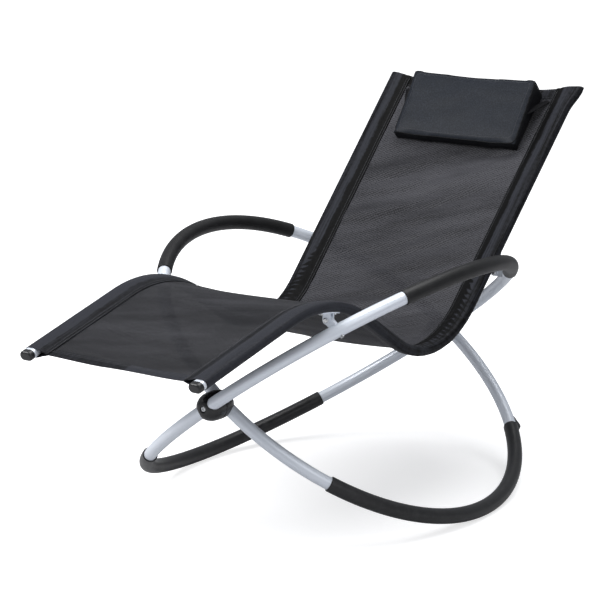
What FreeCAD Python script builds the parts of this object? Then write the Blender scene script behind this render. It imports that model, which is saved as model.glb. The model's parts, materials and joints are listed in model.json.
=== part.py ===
import FreeCAD
import Part
import Sketcher
import math
import os

# Folding rocking lounger: two identical tube rings cross as an X and turn against each
# other about a long axis through two round hubs. Each ring is an armrest above and a
# rocker below. S-shaped seat rails hang on the rings by hinge brackets and carry the
# sling. Millimetres, +Z up, the floor at Z = 0, the foot end towards -Y, the sitter's
# left at +X.

V = FreeCAD.Vector
Placement = FreeCAD.Placement
Rotation = FreeCAD.Rotation

doc = FreeCAD.newDocument("rocking_lounger")
sheet = doc.addObject("Spreadsheet::Sheet", "dims")

DIMS = {
    # rings and hubs
    "ring_radius": 462,
    "tube_diameter": 28,
    "tube_wall": 1.5,
    "half_opening": 53.8,
    "ring_shift": 27.65,
    "pitch": -1.94,
    "middle_station": 81.57,
    "sleeve_diameter": 34,
    "grip_diameter": 34,
    "end_rounding": 2,
    "hub_radius": 31,
    "hub_depth": 43,
    "hub_gap": 1.6,
    "hub_chamfer": 1.5,
    "dome_rim_share": 0.2,
    "dome_bands": 6,
    "washer_thickness": 1.2,
    "washer_radius": 11,
    "pivot_diameter": 8,
    "pivot_head_diameter": 13,
    "pivot_head_height": 4,
    "recess_gap": 0.5,
    "recess_lip": 2,
    "recess_depth": 5,
    "running_clearance": 0.1,
    "bore_gap": 0.35,
    "turning_gap": 0.3,
    "hub_socket_start": 1.6,
    "hub_socket_middle": 2.5,
    # places along the rings, as stations on the long axis and as angles from the front hub
    "grip_front": -256,
    "grip_rear": 271,
    "sleeve_front_angle": 325,
    "sleeve_rear_angle": 222,
    "stopper_length": 42,
    "stopper_height": 11,
    "stopper_width": 20,
    "stopper_overlap": 12,
    "stopper_root": 4,
    "stopper_edge": 1,
    "stopper_ridge": 8,
    # seat rails
    "rail_width": 30,
    "rail_height": 20,
    "rail_wall": 1.5,
    "foot_station": -797.4,
    "foot_height": 168.4,
    "rail_offset": 209.2,
    "splay": 1.344,
    "leg_slope": 12.8,
    "dip_slope": 33,
    "back_slope": 43.3,
    "crest_radius": 355,
    "hip_radius": 240,
    "leg_reach": 436,
    "dip_reach": 408,
    "back_reach": 593,
    "cap_length": 13,
    "head_cap_length": 4,
    "cap_lip": 0.4,
    "cap_rounding": 5,
    "plug_length": 16,
    # hinges between ring and rail
    "hinge_offset": 0.7,
    "eye_radius": 9,
    "post_thickness": 10,
    "ear_thickness": 2.5,
    "ear_clearance": 0.3,
    "web_thickness": 2.5,
    "web_length": 62,
    "web_screw_inset": 7,
    "web_screw_reach": 5,
    "hinge_diameter": 6,
    "hinge_head_diameter": 12,
    "hinge_head_height": 4,
    "hinge_head_rounding": 2.4,
    "nut_height": 5,
    "nut_radius": 5.8,
    "thread_overrun": 1.5,
    "screw_diameter": 5,
    "screw_head_diameter": 10,
    "screw_head_height": 3.5,
    "screw_sink": 0.6,
    "screw_bite": 2,
    "left_front_hinge": -370,
    "left_rear_hinge": 300,
    "right_front_hinge": -345,
    "right_rear_hinge": 330,
    "left_hinge_height": 210.2,
    "right_hinge_height": 206.5,
    # sling and pillow
    "pocket_gap": 0.3,
    "pocket_cloth": 1.3,
    "flange_reach": 12,
    "flange_thickness": 2.4,
    "pocket_inset": 8,
    "pocket_overrun": 6,
    "slit_length": 72,
    "slit_width": 22,
    "slit_depth": 8,
    "slit_drop": 14.5,
    "mesh_thickness": 1.6,
    "mesh_gap": 0.5,
    "mesh_seam": 0.1,
    "mesh_sag": 8,
    "pillow_width": 342,
    "pillow_length": 176,
    "pillow_foot_thickness": 28,
    "pillow_head_thickness": 60,
    "pillow_crown": 5,
    "pillow_station": 712,
    "pillow_gap": 1,
    "pillow_offset": 8,
    "strap_width": 30,
    "strap_thickness": 2,
    "strap_gap": 1.6,
    "strap_inset": 2,
    "strap_lift": 6,
}

for row, (name, number) in enumerate(DIMS.items(), start=1):
    sheet.set(f"A{row}", name)
    sheet.set(f"B{row}", str(number))
    sheet.setAlias(f"B{row}", name)
doc.recompute()


def dim(name):
    return float(sheet.get(name))


def sin(angle):
    return math.sin(math.radians(angle))


def cos(angle):
    return math.cos(math.radians(angle))


def tan(angle):
    return math.tan(math.radians(angle))


RING = dim("ring_radius")
TUBE = dim("tube_diameter") / 2
SHIFT = dim("ring_shift")
PITCH = dim("pitch")
OPENING = dim("half_opening")
LEFT = 1
RIGHT = -1
SIDES = {"left": LEFT, "right": RIGHT}

# The lowest point of a ring lies this far under the long axis, and the sleeve adds its radius.
RING_DROP = RING * math.sqrt(sin(PITCH) ** 2 + (cos(OPENING) * cos(PITCH)) ** 2)
HUB = V(0, dim("middle_station"), RING_DROP + SHIFT * sin(-PITCH) + dim("sleeve_diameter") / 2)
AXIS = V(0, cos(PITCH), sin(PITCH))
AXIS_UP = V(0, -sin(PITCH), cos(PITCH))
X_AXIS = V(1, 0, 0)


def ring_arm_direction(side):
    """From the long axis to the middle of the armrest, in the ring's plane."""
    return X_AXIS * (side * sin(OPENING)) + AXIS_UP * cos(OPENING)


def ring_placement(side, start=0):
    """The ring lies in its own XY plane: +X to the front hub, +Y to the armrest."""
    x_dir = AXIS * -1
    y_dir = ring_arm_direction(side)
    turn = Rotation(x_dir, y_dir, x_dir.cross(y_dir), "XYZ")
    centre = HUB - AXIS * (side * SHIFT)
    return Placement(centre, turn).multiply(Placement(V(), Rotation(V(0, 0, 1), start)))


def ring_point(side, angle):
    return ring_placement(side).multVec(V(RING * cos(angle), RING * sin(angle), 0))


def ring_angle_at(side, station):
    """Angle on the upper half of a ring where it passes a station on the long axis."""
    return math.degrees(math.acos(-(station + side * SHIFT) / RING))


def new_body(label):
    body = doc.addObject("PartDesign::Body", label)
    body.Label = label
    return body


def new_sketch(body, name, role):
    sketch = body.newObject("Sketcher::SketchObject", name)
    for feature in body.Origin.OriginFeatures:
        if feature.Role == role:
            sketch.AttachmentSupport = (feature, [""])
    sketch.MapMode = "FlatFace"
    return sketch


def bind(sketch, constraint, name, formula):
    index = sketch.addConstraint(constraint)
    sketch.renameConstraint(index, name)
    sketch.setExpression(f"Constraints.{name}", formula)


def add_circle(sketch, x, name, radius, radius_formula, x_formula=None):
    """A circle on the sketch's horizontal axis, at x or on the origin."""
    circle = sketch.addGeometry(Part.Circle(V(x, 0, 0), V(0, 0, 1), radius), False)
    if x_formula:
        sketch.addConstraint(Sketcher.Constraint("PointOnObject", circle, 3, -1))
        bind(sketch, Sketcher.Constraint("DistanceX", -1, 1, circle, 3, x), name + "_x", x_formula)
    else:
        sketch.addConstraint(Sketcher.Constraint("Coincident", circle, 3, -1, 1))
    bind(sketch, Sketcher.Constraint("Radius", circle, radius), name + "_r", radius_formula)
    return circle


def outline(sketch, points, bulges=None):
    """A closed outline of lines; bulges gives the middle point of each side that is an arc."""
    bulges = bulges or {}
    count = len(points)
    for i, start in enumerate(points):
        end = points[(i + 1) % count]
        if i in bulges:
            sketch.addGeometry(Part.Arc(V(*start), V(*bulges[i]), V(*end)), False)
        else:
            sketch.addGeometry(Part.LineSegment(V(*start), V(*end)), False)


def pad(body, sketch, length, formula, midplane=True):
    feature = body.newObject("PartDesign::Pad", body.Label + "_pad")
    feature.Profile = sketch
    feature.Length = length
    if formula:
        feature.setExpression("Length", formula)
    feature.Midplane = midplane
    sketch.Visibility = False
    return feature


def revolve(body, sketch, angle, formula=None):
    feature = body.newObject("PartDesign::Revolution", body.Label + "_turn")
    feature.Profile = sketch
    feature.ReferenceAxis = (sketch, ["V_Axis"])
    feature.Angle = angle
    if formula:
        feature.setExpression("Angle", formula)
    return feature


def round_edges(body, feature, radius, formula, wanted):
    doc.recompute()
    edges = [f"Edge{i}" for i, edge in enumerate(feature.Shape.Edges, start=1) if wanted(edge)]
    rounding = body.newObject("PartDesign::Fillet", body.Label + "_rounding")
    rounding.Base = (feature, edges)
    rounding.Radius = radius
    if formula:
        rounding.setExpression("Radius", formula)
    return rounding


def cylinder(name, radius, radius_formula, height, height_formula, placement):
    solid = doc.addObject("Part::Cylinder", name)
    solid.Radius = radius
    solid.Height = height
    if radius_formula:
        solid.setExpression("Radius", radius_formula)
    if height_formula:
        solid.setExpression("Height", height_formula)
    solid.Placement = placement
    return solid


def fuse(label, parts):
    joined = doc.addObject("Part::MultiFuse", label)
    joined.Shapes = parts
    joined.Label = label
    return joined


def cut(label, base, tool):
    result = doc.addObject("Part::Cut", label)
    result.Base = base
    result.Tool = tool
    result.Label = label
    return result


def along(start, direction):
    """Placement at a point with local +Z along a direction."""
    return Placement(start, Rotation(V(0, 0, 1), direction))


# Ring pieces: arcs of round section about the ring's centre

def arc_piece(label, side, start, end, outer_formula, inner_formula, outer, inner, rounded=False):
    body = new_body(label)
    sketch = new_sketch(body, label + "_section", "XZ_Plane")
    add_circle(sketch, RING, "outer", outer, outer_formula, "dims.ring_radius")
    add_circle(sketch, RING, "inner", inner, inner_formula, "dims.ring_radius")
    feature = revolve(body, sketch, end - start)
    if rounded:
        def end_rim(edge):
            curve = edge.Curve
            return isinstance(curve, Part.Circle) and abs(curve.Radius - outer) < 1e-3
        round_edges(body, feature, dim("end_rounding"), "dims.end_rounding", end_rim)
    body.Placement = ring_placement(side, start)
    return body


def torus_tool(name, side, start, end, radius, radius_formula):
    tool = doc.addObject("Part::Torus", name)
    tool.Radius1 = RING
    tool.setExpression("Radius1", "dims.ring_radius")
    tool.Radius2 = radius
    tool.setExpression("Radius2", radius_formula)
    tool.Angle3 = end - start
    tool.Placement = ring_placement(side, start)
    return tool


def straight_bore(name, side, angle, turn, back, length):
    """A straight bore along a short stretch of a ring. It runs the way that turn says, from back
    millimetres before an angle."""
    direction = (ring_point(side, angle + turn) - ring_point(side, angle - turn)).normalize()
    return cylinder(
        name, TUBE + dim("bore_gap"), "dims.tube_diameter / 2 + dims.bore_gap",
        length, None, along(ring_point(side, angle) - direction * back, direction))


# Rail frame: Y runs along the rail in plan, Z is up, X is outwards on the left side.

SPLAY = dim("splay")
RAIL_HALF = dim("rail_height") / 2
RAIL_ROUND_CENTRE = dim("rail_width") / 2 - RAIL_HALF


def rail_placement(side=LEFT):
    origin = HUB + V(side * dim("rail_offset"), dim("foot_station"), 0)
    return Placement(origin, Rotation(V(0, 0, 1), -side * SPLAY))


def rail_corners():
    """The rail's four corners before bending: foot end, knee crest, hip, head end."""
    foot = V(0, 0, dim("foot_height"))
    knee = foot + V(0, dim("leg_reach"), dim("leg_reach") * tan(dim("leg_slope")))
    hip = knee + V(0, dim("dip_reach"), -dim("dip_reach") * tan(dim("dip_slope")))
    head = hip + V(0, dim("back_reach"), dim("back_reach") * tan(dim("back_slope")))
    return foot, knee, hip, head


def rail_edges():
    """Straight runs and bends of the rail's centre line, each as (kind, points)."""
    foot, knee, hip, head = rail_corners()
    bends = []
    for corner, before, after, radius in (
        (knee, foot, hip, dim("crest_radius")),
        (hip, knee, head, dim("hip_radius")),
    ):
        to_before = (before - corner).normalize()
        to_after = (after - corner).normalize()
        half = to_before.getAngle(to_after) / 2
        tangent = radius / math.tan(half)
        middle_way = (to_before + to_after).normalize()
        middle = corner + middle_way * (radius / math.sin(half) - radius)
        bends.append((corner + to_before * tangent, middle, corner + to_after * tangent))
    knee_bend, hip_bend = bends
    return foot, knee_bend, hip_bend, head


def rail_path():
    """The rail's centre line as a wire in the rail frame."""
    foot, knee_bend, hip_bend, head = rail_edges()
    return Part.Wire([
        Part.LineSegment(foot, knee_bend[0]).toShape(),
        Part.Arc(*knee_bend).toShape(),
        Part.LineSegment(knee_bend[2], hip_bend[0]).toShape(),
        Part.Arc(*hip_bend).toShape(),
        Part.LineSegment(hip_bend[2], head).toShape(),
    ])


PATH = rail_path()


def rail_at(station):
    """Centre-line point and tangent of the rail at a distance along its plan."""
    cutter = Part.makePlane(4000, 4000, V(-2000, station, -2000), V(0, 1, 0))
    common = PATH.distToShape(cutter)
    point = common[1][0][0]
    for edge in PATH.Edges:
        parameter = edge.Curve.parameter(point)
        low, high = edge.ParameterRange
        if low - 1e-6 <= parameter <= high + 1e-6 and edge.valueAt(parameter).distanceToPoint(point) < 1e-4:
            tangent = edge.tangentAt(parameter)
            return point, tangent if tangent.y > 0 else tangent * -1
    raise ValueError(f"no rail at {station}")


def plan_distance(station):
    """Distance along the rail's plan from its foot end, for a station on the long axis."""
    return (station - dim("foot_station")) / cos(SPLAY)


def path_sketch(body, inset=0, overrun=0):
    """The rail's bent centre line: three straight runs joined by two tangent bends."""
    sketch = new_sketch(body, body.Label + "_path", "YZ_Plane")
    foot, knee_bend, hip_bend, head = rail_edges()
    foot = foot + (knee_bend[0] - foot).normalize() * inset
    head = head + (head - hip_bend[2]).normalize() * overrun

    def flat(p):
        return V(p.y, p.z, 0)

    leg = sketch.addGeometry(Part.LineSegment(flat(foot), flat(knee_bend[0])), False)
    crest = sketch.addGeometry(Part.Arc(*[flat(p) for p in knee_bend]), False)
    dip = sketch.addGeometry(Part.LineSegment(flat(knee_bend[2]), flat(hip_bend[0])), False)
    valley = sketch.addGeometry(Part.Arc(*[flat(p) for p in hip_bend]), False)
    back = sketch.addGeometry(Part.LineSegment(flat(hip_bend[2]), flat(head)), False)
    bind(sketch, Sketcher.Constraint("Radius", crest, dim("crest_radius")), "crest", "dims.crest_radius")
    bind(sketch, Sketcher.Constraint("Radius", valley, dim("hip_radius")), "valley", "dims.hip_radius")
    for piece in (leg, dip, back):
        sketch.addConstraint(Sketcher.Constraint("Block", piece))
    return sketch


def add_slot(sketch, half_width, radius):
    """A flat oval: two half circles joined by straight sides."""
    reach = half_width - radius
    sketch.addGeometry(Part.LineSegment(V(-reach, radius, 0), V(reach, radius, 0)), False)
    sketch.addGeometry(Part.Arc(V(reach, radius, 0), V(half_width, 0, 0), V(reach, -radius, 0)), False)
    sketch.addGeometry(Part.LineSegment(V(reach, -radius, 0), V(-reach, -radius, 0)), False)
    sketch.addGeometry(Part.Arc(V(-reach, -radius, 0), V(-half_width, 0, 0), V(-reach, radius, 0)), False)


def section_sketch(body, name):
    """A sketch square to the rail at its foot end, upright across the rail."""
    sketch = new_sketch(body, name, "XZ_Plane")
    start = rail_corners()[0]
    sketch.AttachmentOffset = Placement(
        V(0, start.z, 0), Rotation(X_AXIS, dim("leg_slope")))
    return sketch


def sweep(body, section, path):
    feature = body.newObject("PartDesign::AdditivePipe", section.Name + "_sweep")
    feature.Profile = section
    feature.Spine = path
    return feature


NODES = []


def keep(*pieces):
    NODES.extend(pieces)


# Hinge geometry

def hinge_stations(name):
    return dim(name + "_front_hinge"), dim(name + "_rear_hinge")


def hinge_point(name, station):
    """A point of the hinge line between a ring and its rail."""
    side = SIDES[name]
    local_y = plan_distance(station)
    height = dim(name + "_hinge_height") - (station - dim(name + "_front_hinge")) * tan(-PITCH)
    offset = side * dim("hinge_offset")
    return rail_placement(side).multVec(V(offset, local_y, height))


def hinge_direction(name):
    front, rear = hinge_stations(name)
    return (hinge_point(name, rear) - hinge_point(name, front)).normalize()


def hinge_frame(name, station):
    """Local Y along the hinge line, local Z up, origin on the hinge line."""
    y_dir = hinge_direction(name)
    x_dir = y_dir.cross(V(0, 0, 1)).normalize()
    z_dir = x_dir.cross(y_dir)
    return Placement(hinge_point(name, station), Rotation(x_dir, y_dir, z_dir, "XYZ"))


def ring_crossing(name, station):
    """Where the ring's centre line passes the plane square to the hinge line at a hinge."""
    side = SIDES[name]
    frame = hinge_frame(name, station).inverse()
    low, high = ring_angle_at(side, station) - 12, ring_angle_at(side, station) + 12
    low_y = frame.multVec(ring_point(side, low)).y
    for _ in range(60):
        middle = (low + high) / 2
        middle_y = frame.multVec(ring_point(side, middle)).y
        if (middle_y > 0) == (low_y > 0):
            low = middle
        else:
            high = middle
    return ring_point(side, (low + high) / 2), (low + high) / 2


def make_ring(name):
    side = SIDES[name]
    arm = arc_piece(
        name + "_arm_blank", side, dim("hub_socket_start"), 180 - dim("hub_socket_start"),
        "dims.tube_diameter / 2", "dims.tube_diameter / 2 - dims.tube_wall",
        TUBE, TUBE - dim("tube_wall"))
    rocker = arc_piece(
        name + "_rocker_tube", side, 180 + dim("hub_socket_start"), 360 - dim("hub_socket_start"),
        "dims.tube_diameter / 2", "dims.tube_diameter / 2 - dims.tube_wall",
        TUBE, TUBE - dim("tube_wall"))
    grip = arc_piece(
        name + "_arm_grip", side,
        ring_angle_at(side, dim("grip_front")), ring_angle_at(side, dim("grip_rear")),
        "dims.grip_diameter / 2", "dims.tube_diameter / 2",
        dim("grip_diameter") / 2, TUBE, rounded=True)
    sleeve = arc_piece(
        name + "_rocker_sleeve", side, dim("sleeve_rear_angle"), dim("sleeve_front_angle"),
        "dims.sleeve_diameter / 2", "dims.tube_diameter / 2",
        dim("sleeve_diameter") / 2, TUBE, rounded=True)
    stopper = make_stopper(name, side)
    posts, screws = make_posts(name)
    arm_tube = cut(name + "_arm_tube", arm, screws)
    keep(arm_tube, rocker, grip, sleeve, stopper, screws, *posts)


def make_stopper(name, side):
    """A wedge saddled on the outside of the ring behind the sleeve; it stops the roll back."""
    body = new_body(name + "_stopper_blank")
    sketch = new_sketch(body, body.Label + "_side", "XY_Plane")
    rear = dim("sleeve_rear_angle")
    degrees_per_mm = 180 / math.pi / RING

    def at(offset, radius):
        angle = rear + offset * degrees_per_mm
        return (radius * cos(angle), radius * sin(angle), 0)

    inner = RING + dim("stopper_root")
    skin = RING + TUBE + dim("stopper_edge")
    crown = RING + TUBE + dim("stopper_height")
    lead = dim("stopper_overlap")
    tail = lead - dim("stopper_length")
    ridge = -dim("stopper_ridge")
    points = [
        at(tail, inner), at(lead, inner), at(lead, skin + 2.4), at(0, crown - 1), at(ridge, crown), at(tail, skin)]
    bulges = {0: at((tail + lead) / 2, inner), 3: at(ridge / 2, crown + 0.4)}
    outline(sketch, points, bulges)
    blank = pad(body, sketch, dim("stopper_width"), "dims.stopper_width")

    def crown_edge(edge):
        ends = [v.Point for v in edge.Vertexes]
        return len(ends) == 2 and all(
            math.hypot(p.x, p.y) > RING + TUBE for p in ends) and abs(ends[0].z - ends[1].z) < 1e-3
    round_edges(body, blank, 5, "dims.stopper_width / 4", crown_edge)
    body.Placement = ring_placement(side)
    over_tube = torus_tool(name + "_stopper_tube", side, rear - 20, rear + 20, TUBE, "dims.tube_diameter / 2")
    over_sleeve = torus_tool(
        name + "_stopper_sleeve", side, rear, rear + 20,
        dim("sleeve_diameter") / 2, "dims.sleeve_diameter / 2")
    saddle = fuse(name + "_stopper_saddle", [over_tube, over_sleeve])
    return cut(name + "_rocker_stopper", body, saddle)


def make_posts(name):
    """Flat lugs between the ring's arm and the hinge line, each held by a screw from below."""
    side = SIDES[name]
    posts = []
    screws = []
    for place, station in zip(("front", "rear"), hinge_stations(name)):
        frame = hinge_frame(name, station)
        crossing, angle = ring_crossing(name, station)
        foot = frame.inverse().multVec(crossing)
        reach = V(foot.x, 0, foot.z)
        turn = Rotation(V(0, 0, 1), reach)
        body = new_body(f"{name}_{place}_post_blank")
        sketch = new_sketch(body, body.Label + "_side", "XZ_Plane")
        radius = dim("eye_radius")
        length = reach.Length
        points = [(radius, 0, 0), (radius, length, 0), (-radius, length, 0), (-radius, 0, 0)]
        outline(sketch, points, {1: (0, length + radius, 0), 3: (0, -radius, 0)})
        hole = dim("hinge_diameter") / 2 + dim("running_clearance")
        add_circle(sketch, 0, "bolt", hole, "dims.hinge_diameter / 2 + dims.running_clearance")
        pad(body, sketch, dim("post_thickness"), "dims.post_thickness")
        body.Placement = frame.multiply(Placement(V(), turn))
        outward = frame.Rotation.multVec(reach).normalize()
        head_at = crossing + outward * (TUBE - dim("screw_sink"))
        head = cylinder(
            f"{name}_{place}_post_screw_head", dim("screw_head_diameter") / 2, "dims.screw_head_diameter / 2",
            dim("screw_head_height"), "dims.screw_head_height", along(head_at, outward))
        shank = cylinder(
            f"{name}_{place}_post_screw_shank", dim("screw_diameter") / 2, "dims.screw_diameter / 2",
            2 * TUBE + dim("screw_bite"), None, along(head_at, outward * -1))
        screw = fuse(f"{name}_{place}_post_screw", [head, shank])
        screws.append(screw)
        seat = torus_tool(f"{name}_{place}_post_seat", side, angle - 15, angle + 15, TUBE, "dims.tube_diameter / 2")
        saddle = fuse(f"{name}_{place}_post_tools", [seat, screw])
        posts.append(cut(f"{name}_{place}_post", body, saddle))
    return posts, fuse(name + "_post_screws", screws)


def dome_point(radius, crown, depth, turn):
    """A point of the dome's quarter ellipse, from its straight rim at 0 to its crown at 90 degrees."""
    rim = depth * dim("dome_rim_share")
    return (crown + (radius - crown) * cos(turn), rim + (depth - rim) * sin(turn), 0)


def make_hub(place, station_sign):
    """Two dome shells face to face on the long axis; each holds both tube ends of its ring."""
    joint = HUB + AXIS * (station_sign * RING)
    shells = []
    for name, side in SIDES.items():
        outward = AXIS * -side
        label = f"{name}_{place}_hub_shell"
        body = new_body(label + "_blank")
        sketch = new_sketch(body, label + "_profile", "XZ_Plane")
        radius = dim("hub_radius")
        depth = dim("hub_depth")
        start = dim("hub_gap") / 2
        bore = dim("pivot_diameter") / 2 + (0 if side == LEFT else dim("running_clearance"))
        recess = dim("pivot_head_diameter") / 2 + dim("recess_gap")
        recess_floor = depth - dim("recess_depth") - (0 if side == LEFT else dim("turning_gap"))
        chamfer = dim("hub_chamfer")
        bands = int(dim("dome_bands"))
        dome = []
        for step in range(bands + 1):
            turn = 90 * step / bands
            dome.append(dome_point(radius, recess + dim("recess_lip"), depth, turn))
        points = [
            (bore, start, 0), (radius - chamfer, start, 0), (radius, start + chamfer, 0), *dome,
            (recess, depth - chamfer / 2, 0), (recess, recess_floor, 0), (bore, recess_floor, 0)]
        outline(sketch, points)
        revolve(body, sketch, 360)
        body.Placement = along(joint, outward)
        sockets = []
        base = 0 if station_sign < 0 else 180
        middle = dim("hub_socket_middle")
        floor = math.radians(middle - dim("hub_socket_start")) * RING + dim("turning_gap")
        for part, turn in (("arm", -station_sign), ("rocker", station_sign)):
            sockets.append(straight_bore(
                f"{label}_{part}_socket", side, base + turn * middle, turn, floor, 2 * radius))
        shells.append(cut(label, body, fuse(label + "_sockets", sockets)))
    return joint, shells


def make_nut(label, radius, bore_name, height):
    """A hexagon nut on local +Z."""
    body = new_body(label)
    sketch = new_sketch(body, label + "_flats", "XY_Plane")
    outline(sketch, [(radius * cos(60 * i), radius * sin(60 * i), 0) for i in range(6)])
    add_circle(sketch, 0, "bore", dim(bore_name) / 2, f"dims.{bore_name} / 2")
    pad(body, sketch, height, None, midplane=False)
    return body


def make_pivot(place, joint):
    """Bolt, nut and washer on the long axis. The head is on the ring that stands outside."""
    foot_side = AXIS * -1
    head_out = foot_side if place == "front" else AXIS
    depth = dim("hub_depth")
    height = dim("pivot_head_height")
    floor = depth - dim("recess_depth")
    shank = cylinder(
        f"{place}_pivot_shank", dim("pivot_diameter") / 2, "dims.pivot_diameter / 2",
        2 * floor + height, None, along(joint - head_out * (floor + height), head_out))
    body = new_body(f"{place}_pivot_head")
    sketch = new_sketch(body, body.Label + "_profile", "XZ_Plane")
    radius = dim("pivot_head_diameter") / 2
    key = radius * 0.4
    points = [
        (0, 0, 0), (radius, 0, 0), (radius, height * 0.4, 0), (radius * 0.8, height * 0.85, 0), (key, height, 0),
        (key, height * 0.5, 0), (0, height * 0.5, 0)]
    outline(sketch, points)
    revolve(body, sketch, 360)
    body.Placement = along(joint + head_out * floor, head_out)
    bolt = fuse(f"{place}_pivot_bolt", [shank, body])
    nut = make_nut(f"{place}_pivot_nut", dim("pivot_head_diameter") / 2, "pivot_diameter", dim("pivot_head_height"))
    nut.Placement = along(joint - head_out * floor, head_out * -1)
    washer_body = new_body(f"{place}_hub_washer")
    washer_sketch = new_sketch(washer_body, washer_body.Label + "_section", "XY_Plane")
    add_circle(washer_sketch, 0, "outer", dim("washer_radius"), "dims.washer_radius")
    add_circle(washer_sketch, 0, "inner", dim("pivot_diameter") / 2, "dims.pivot_diameter / 2")
    pad(washer_body, washer_sketch, dim("washer_thickness"), "dims.washer_thickness", midplane=False)
    washer_body.Placement = along(joint - AXIS * (dim("hub_gap") / 2), AXIS)
    keep(bolt, washer_body)
    return nut


def make_hubs():
    nuts = []
    for place, sign in (("front", -1), ("rear", 1)):
        joint, shells = make_hub(place, sign)
        keep(*shells)
        nuts.append(make_pivot(place, joint))
    keep(fuse("pivot_nuts", nuts))


def rail_frame(name, distance, across=0, drop=0):
    """Frame on a rail's centre line: local Y along the rail, local Z square to it, upwards."""
    side = SIDES[name]
    point, tangent = rail_at(distance)
    turn = Rotation(X_AXIS, tangent, X_AXIS.cross(tangent), "XYZ")
    local = Placement(point, turn).multiply(Placement(V(side * across, 0, -drop), Rotation()))
    return rail_placement(side).multiply(local)


def make_rail_tube(name):
    body = new_body(name + "_rail_blank")
    path = path_sketch(body)
    section = section_sketch(body, body.Label + "_section")
    half_width = dim("rail_width") / 2
    wall = dim("rail_wall")
    add_slot(section, half_width, RAIL_HALF)
    add_slot(section, half_width - wall, RAIL_HALF - wall)
    sweep(body, section, path)
    body.Placement = rail_placement(SIDES[name])
    return body


def make_cap(name, place, distance, facing, length, formula, lip):
    """An oval end cap: a plug inside the tube and a rounded knob outside it."""
    body = new_body(f"{name}_{place}_cap")
    knob_sketch = new_sketch(body, body.Label + "_knob", "XY_Plane")
    add_slot(knob_sketch, dim("rail_width") / 2 + lip, RAIL_HALF + lip)
    knob = pad(body, knob_sketch, length, formula, midplane=False)

    def outer_rim(edge):
        return all(abs(v.Point.z - length) < 1e-3 for v in edge.Vertexes)
    if length > dim("cap_rounding"):
        round_edges(body, knob, dim("cap_rounding"), "dims.cap_rounding", outer_rim)
    plug_sketch = new_sketch(body, body.Label + "_plug_section", "XY_Plane")
    inside = RAIL_HALF - dim("rail_wall")
    add_slot(plug_sketch, dim("rail_width") / 2 - dim("rail_wall"), inside)
    plug = body.newObject("PartDesign::Pad", body.Label + "_plug")
    plug.Profile = plug_sketch
    plug.Length = dim("plug_length")
    plug.setExpression("Length", "dims.plug_length")
    plug.Reversed = True
    turn = Placement(V(), Rotation(X_AXIS, -90 * facing))
    frame = rail_frame(name, distance)
    body.Placement = frame.multiply(turn)
    return body


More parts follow.
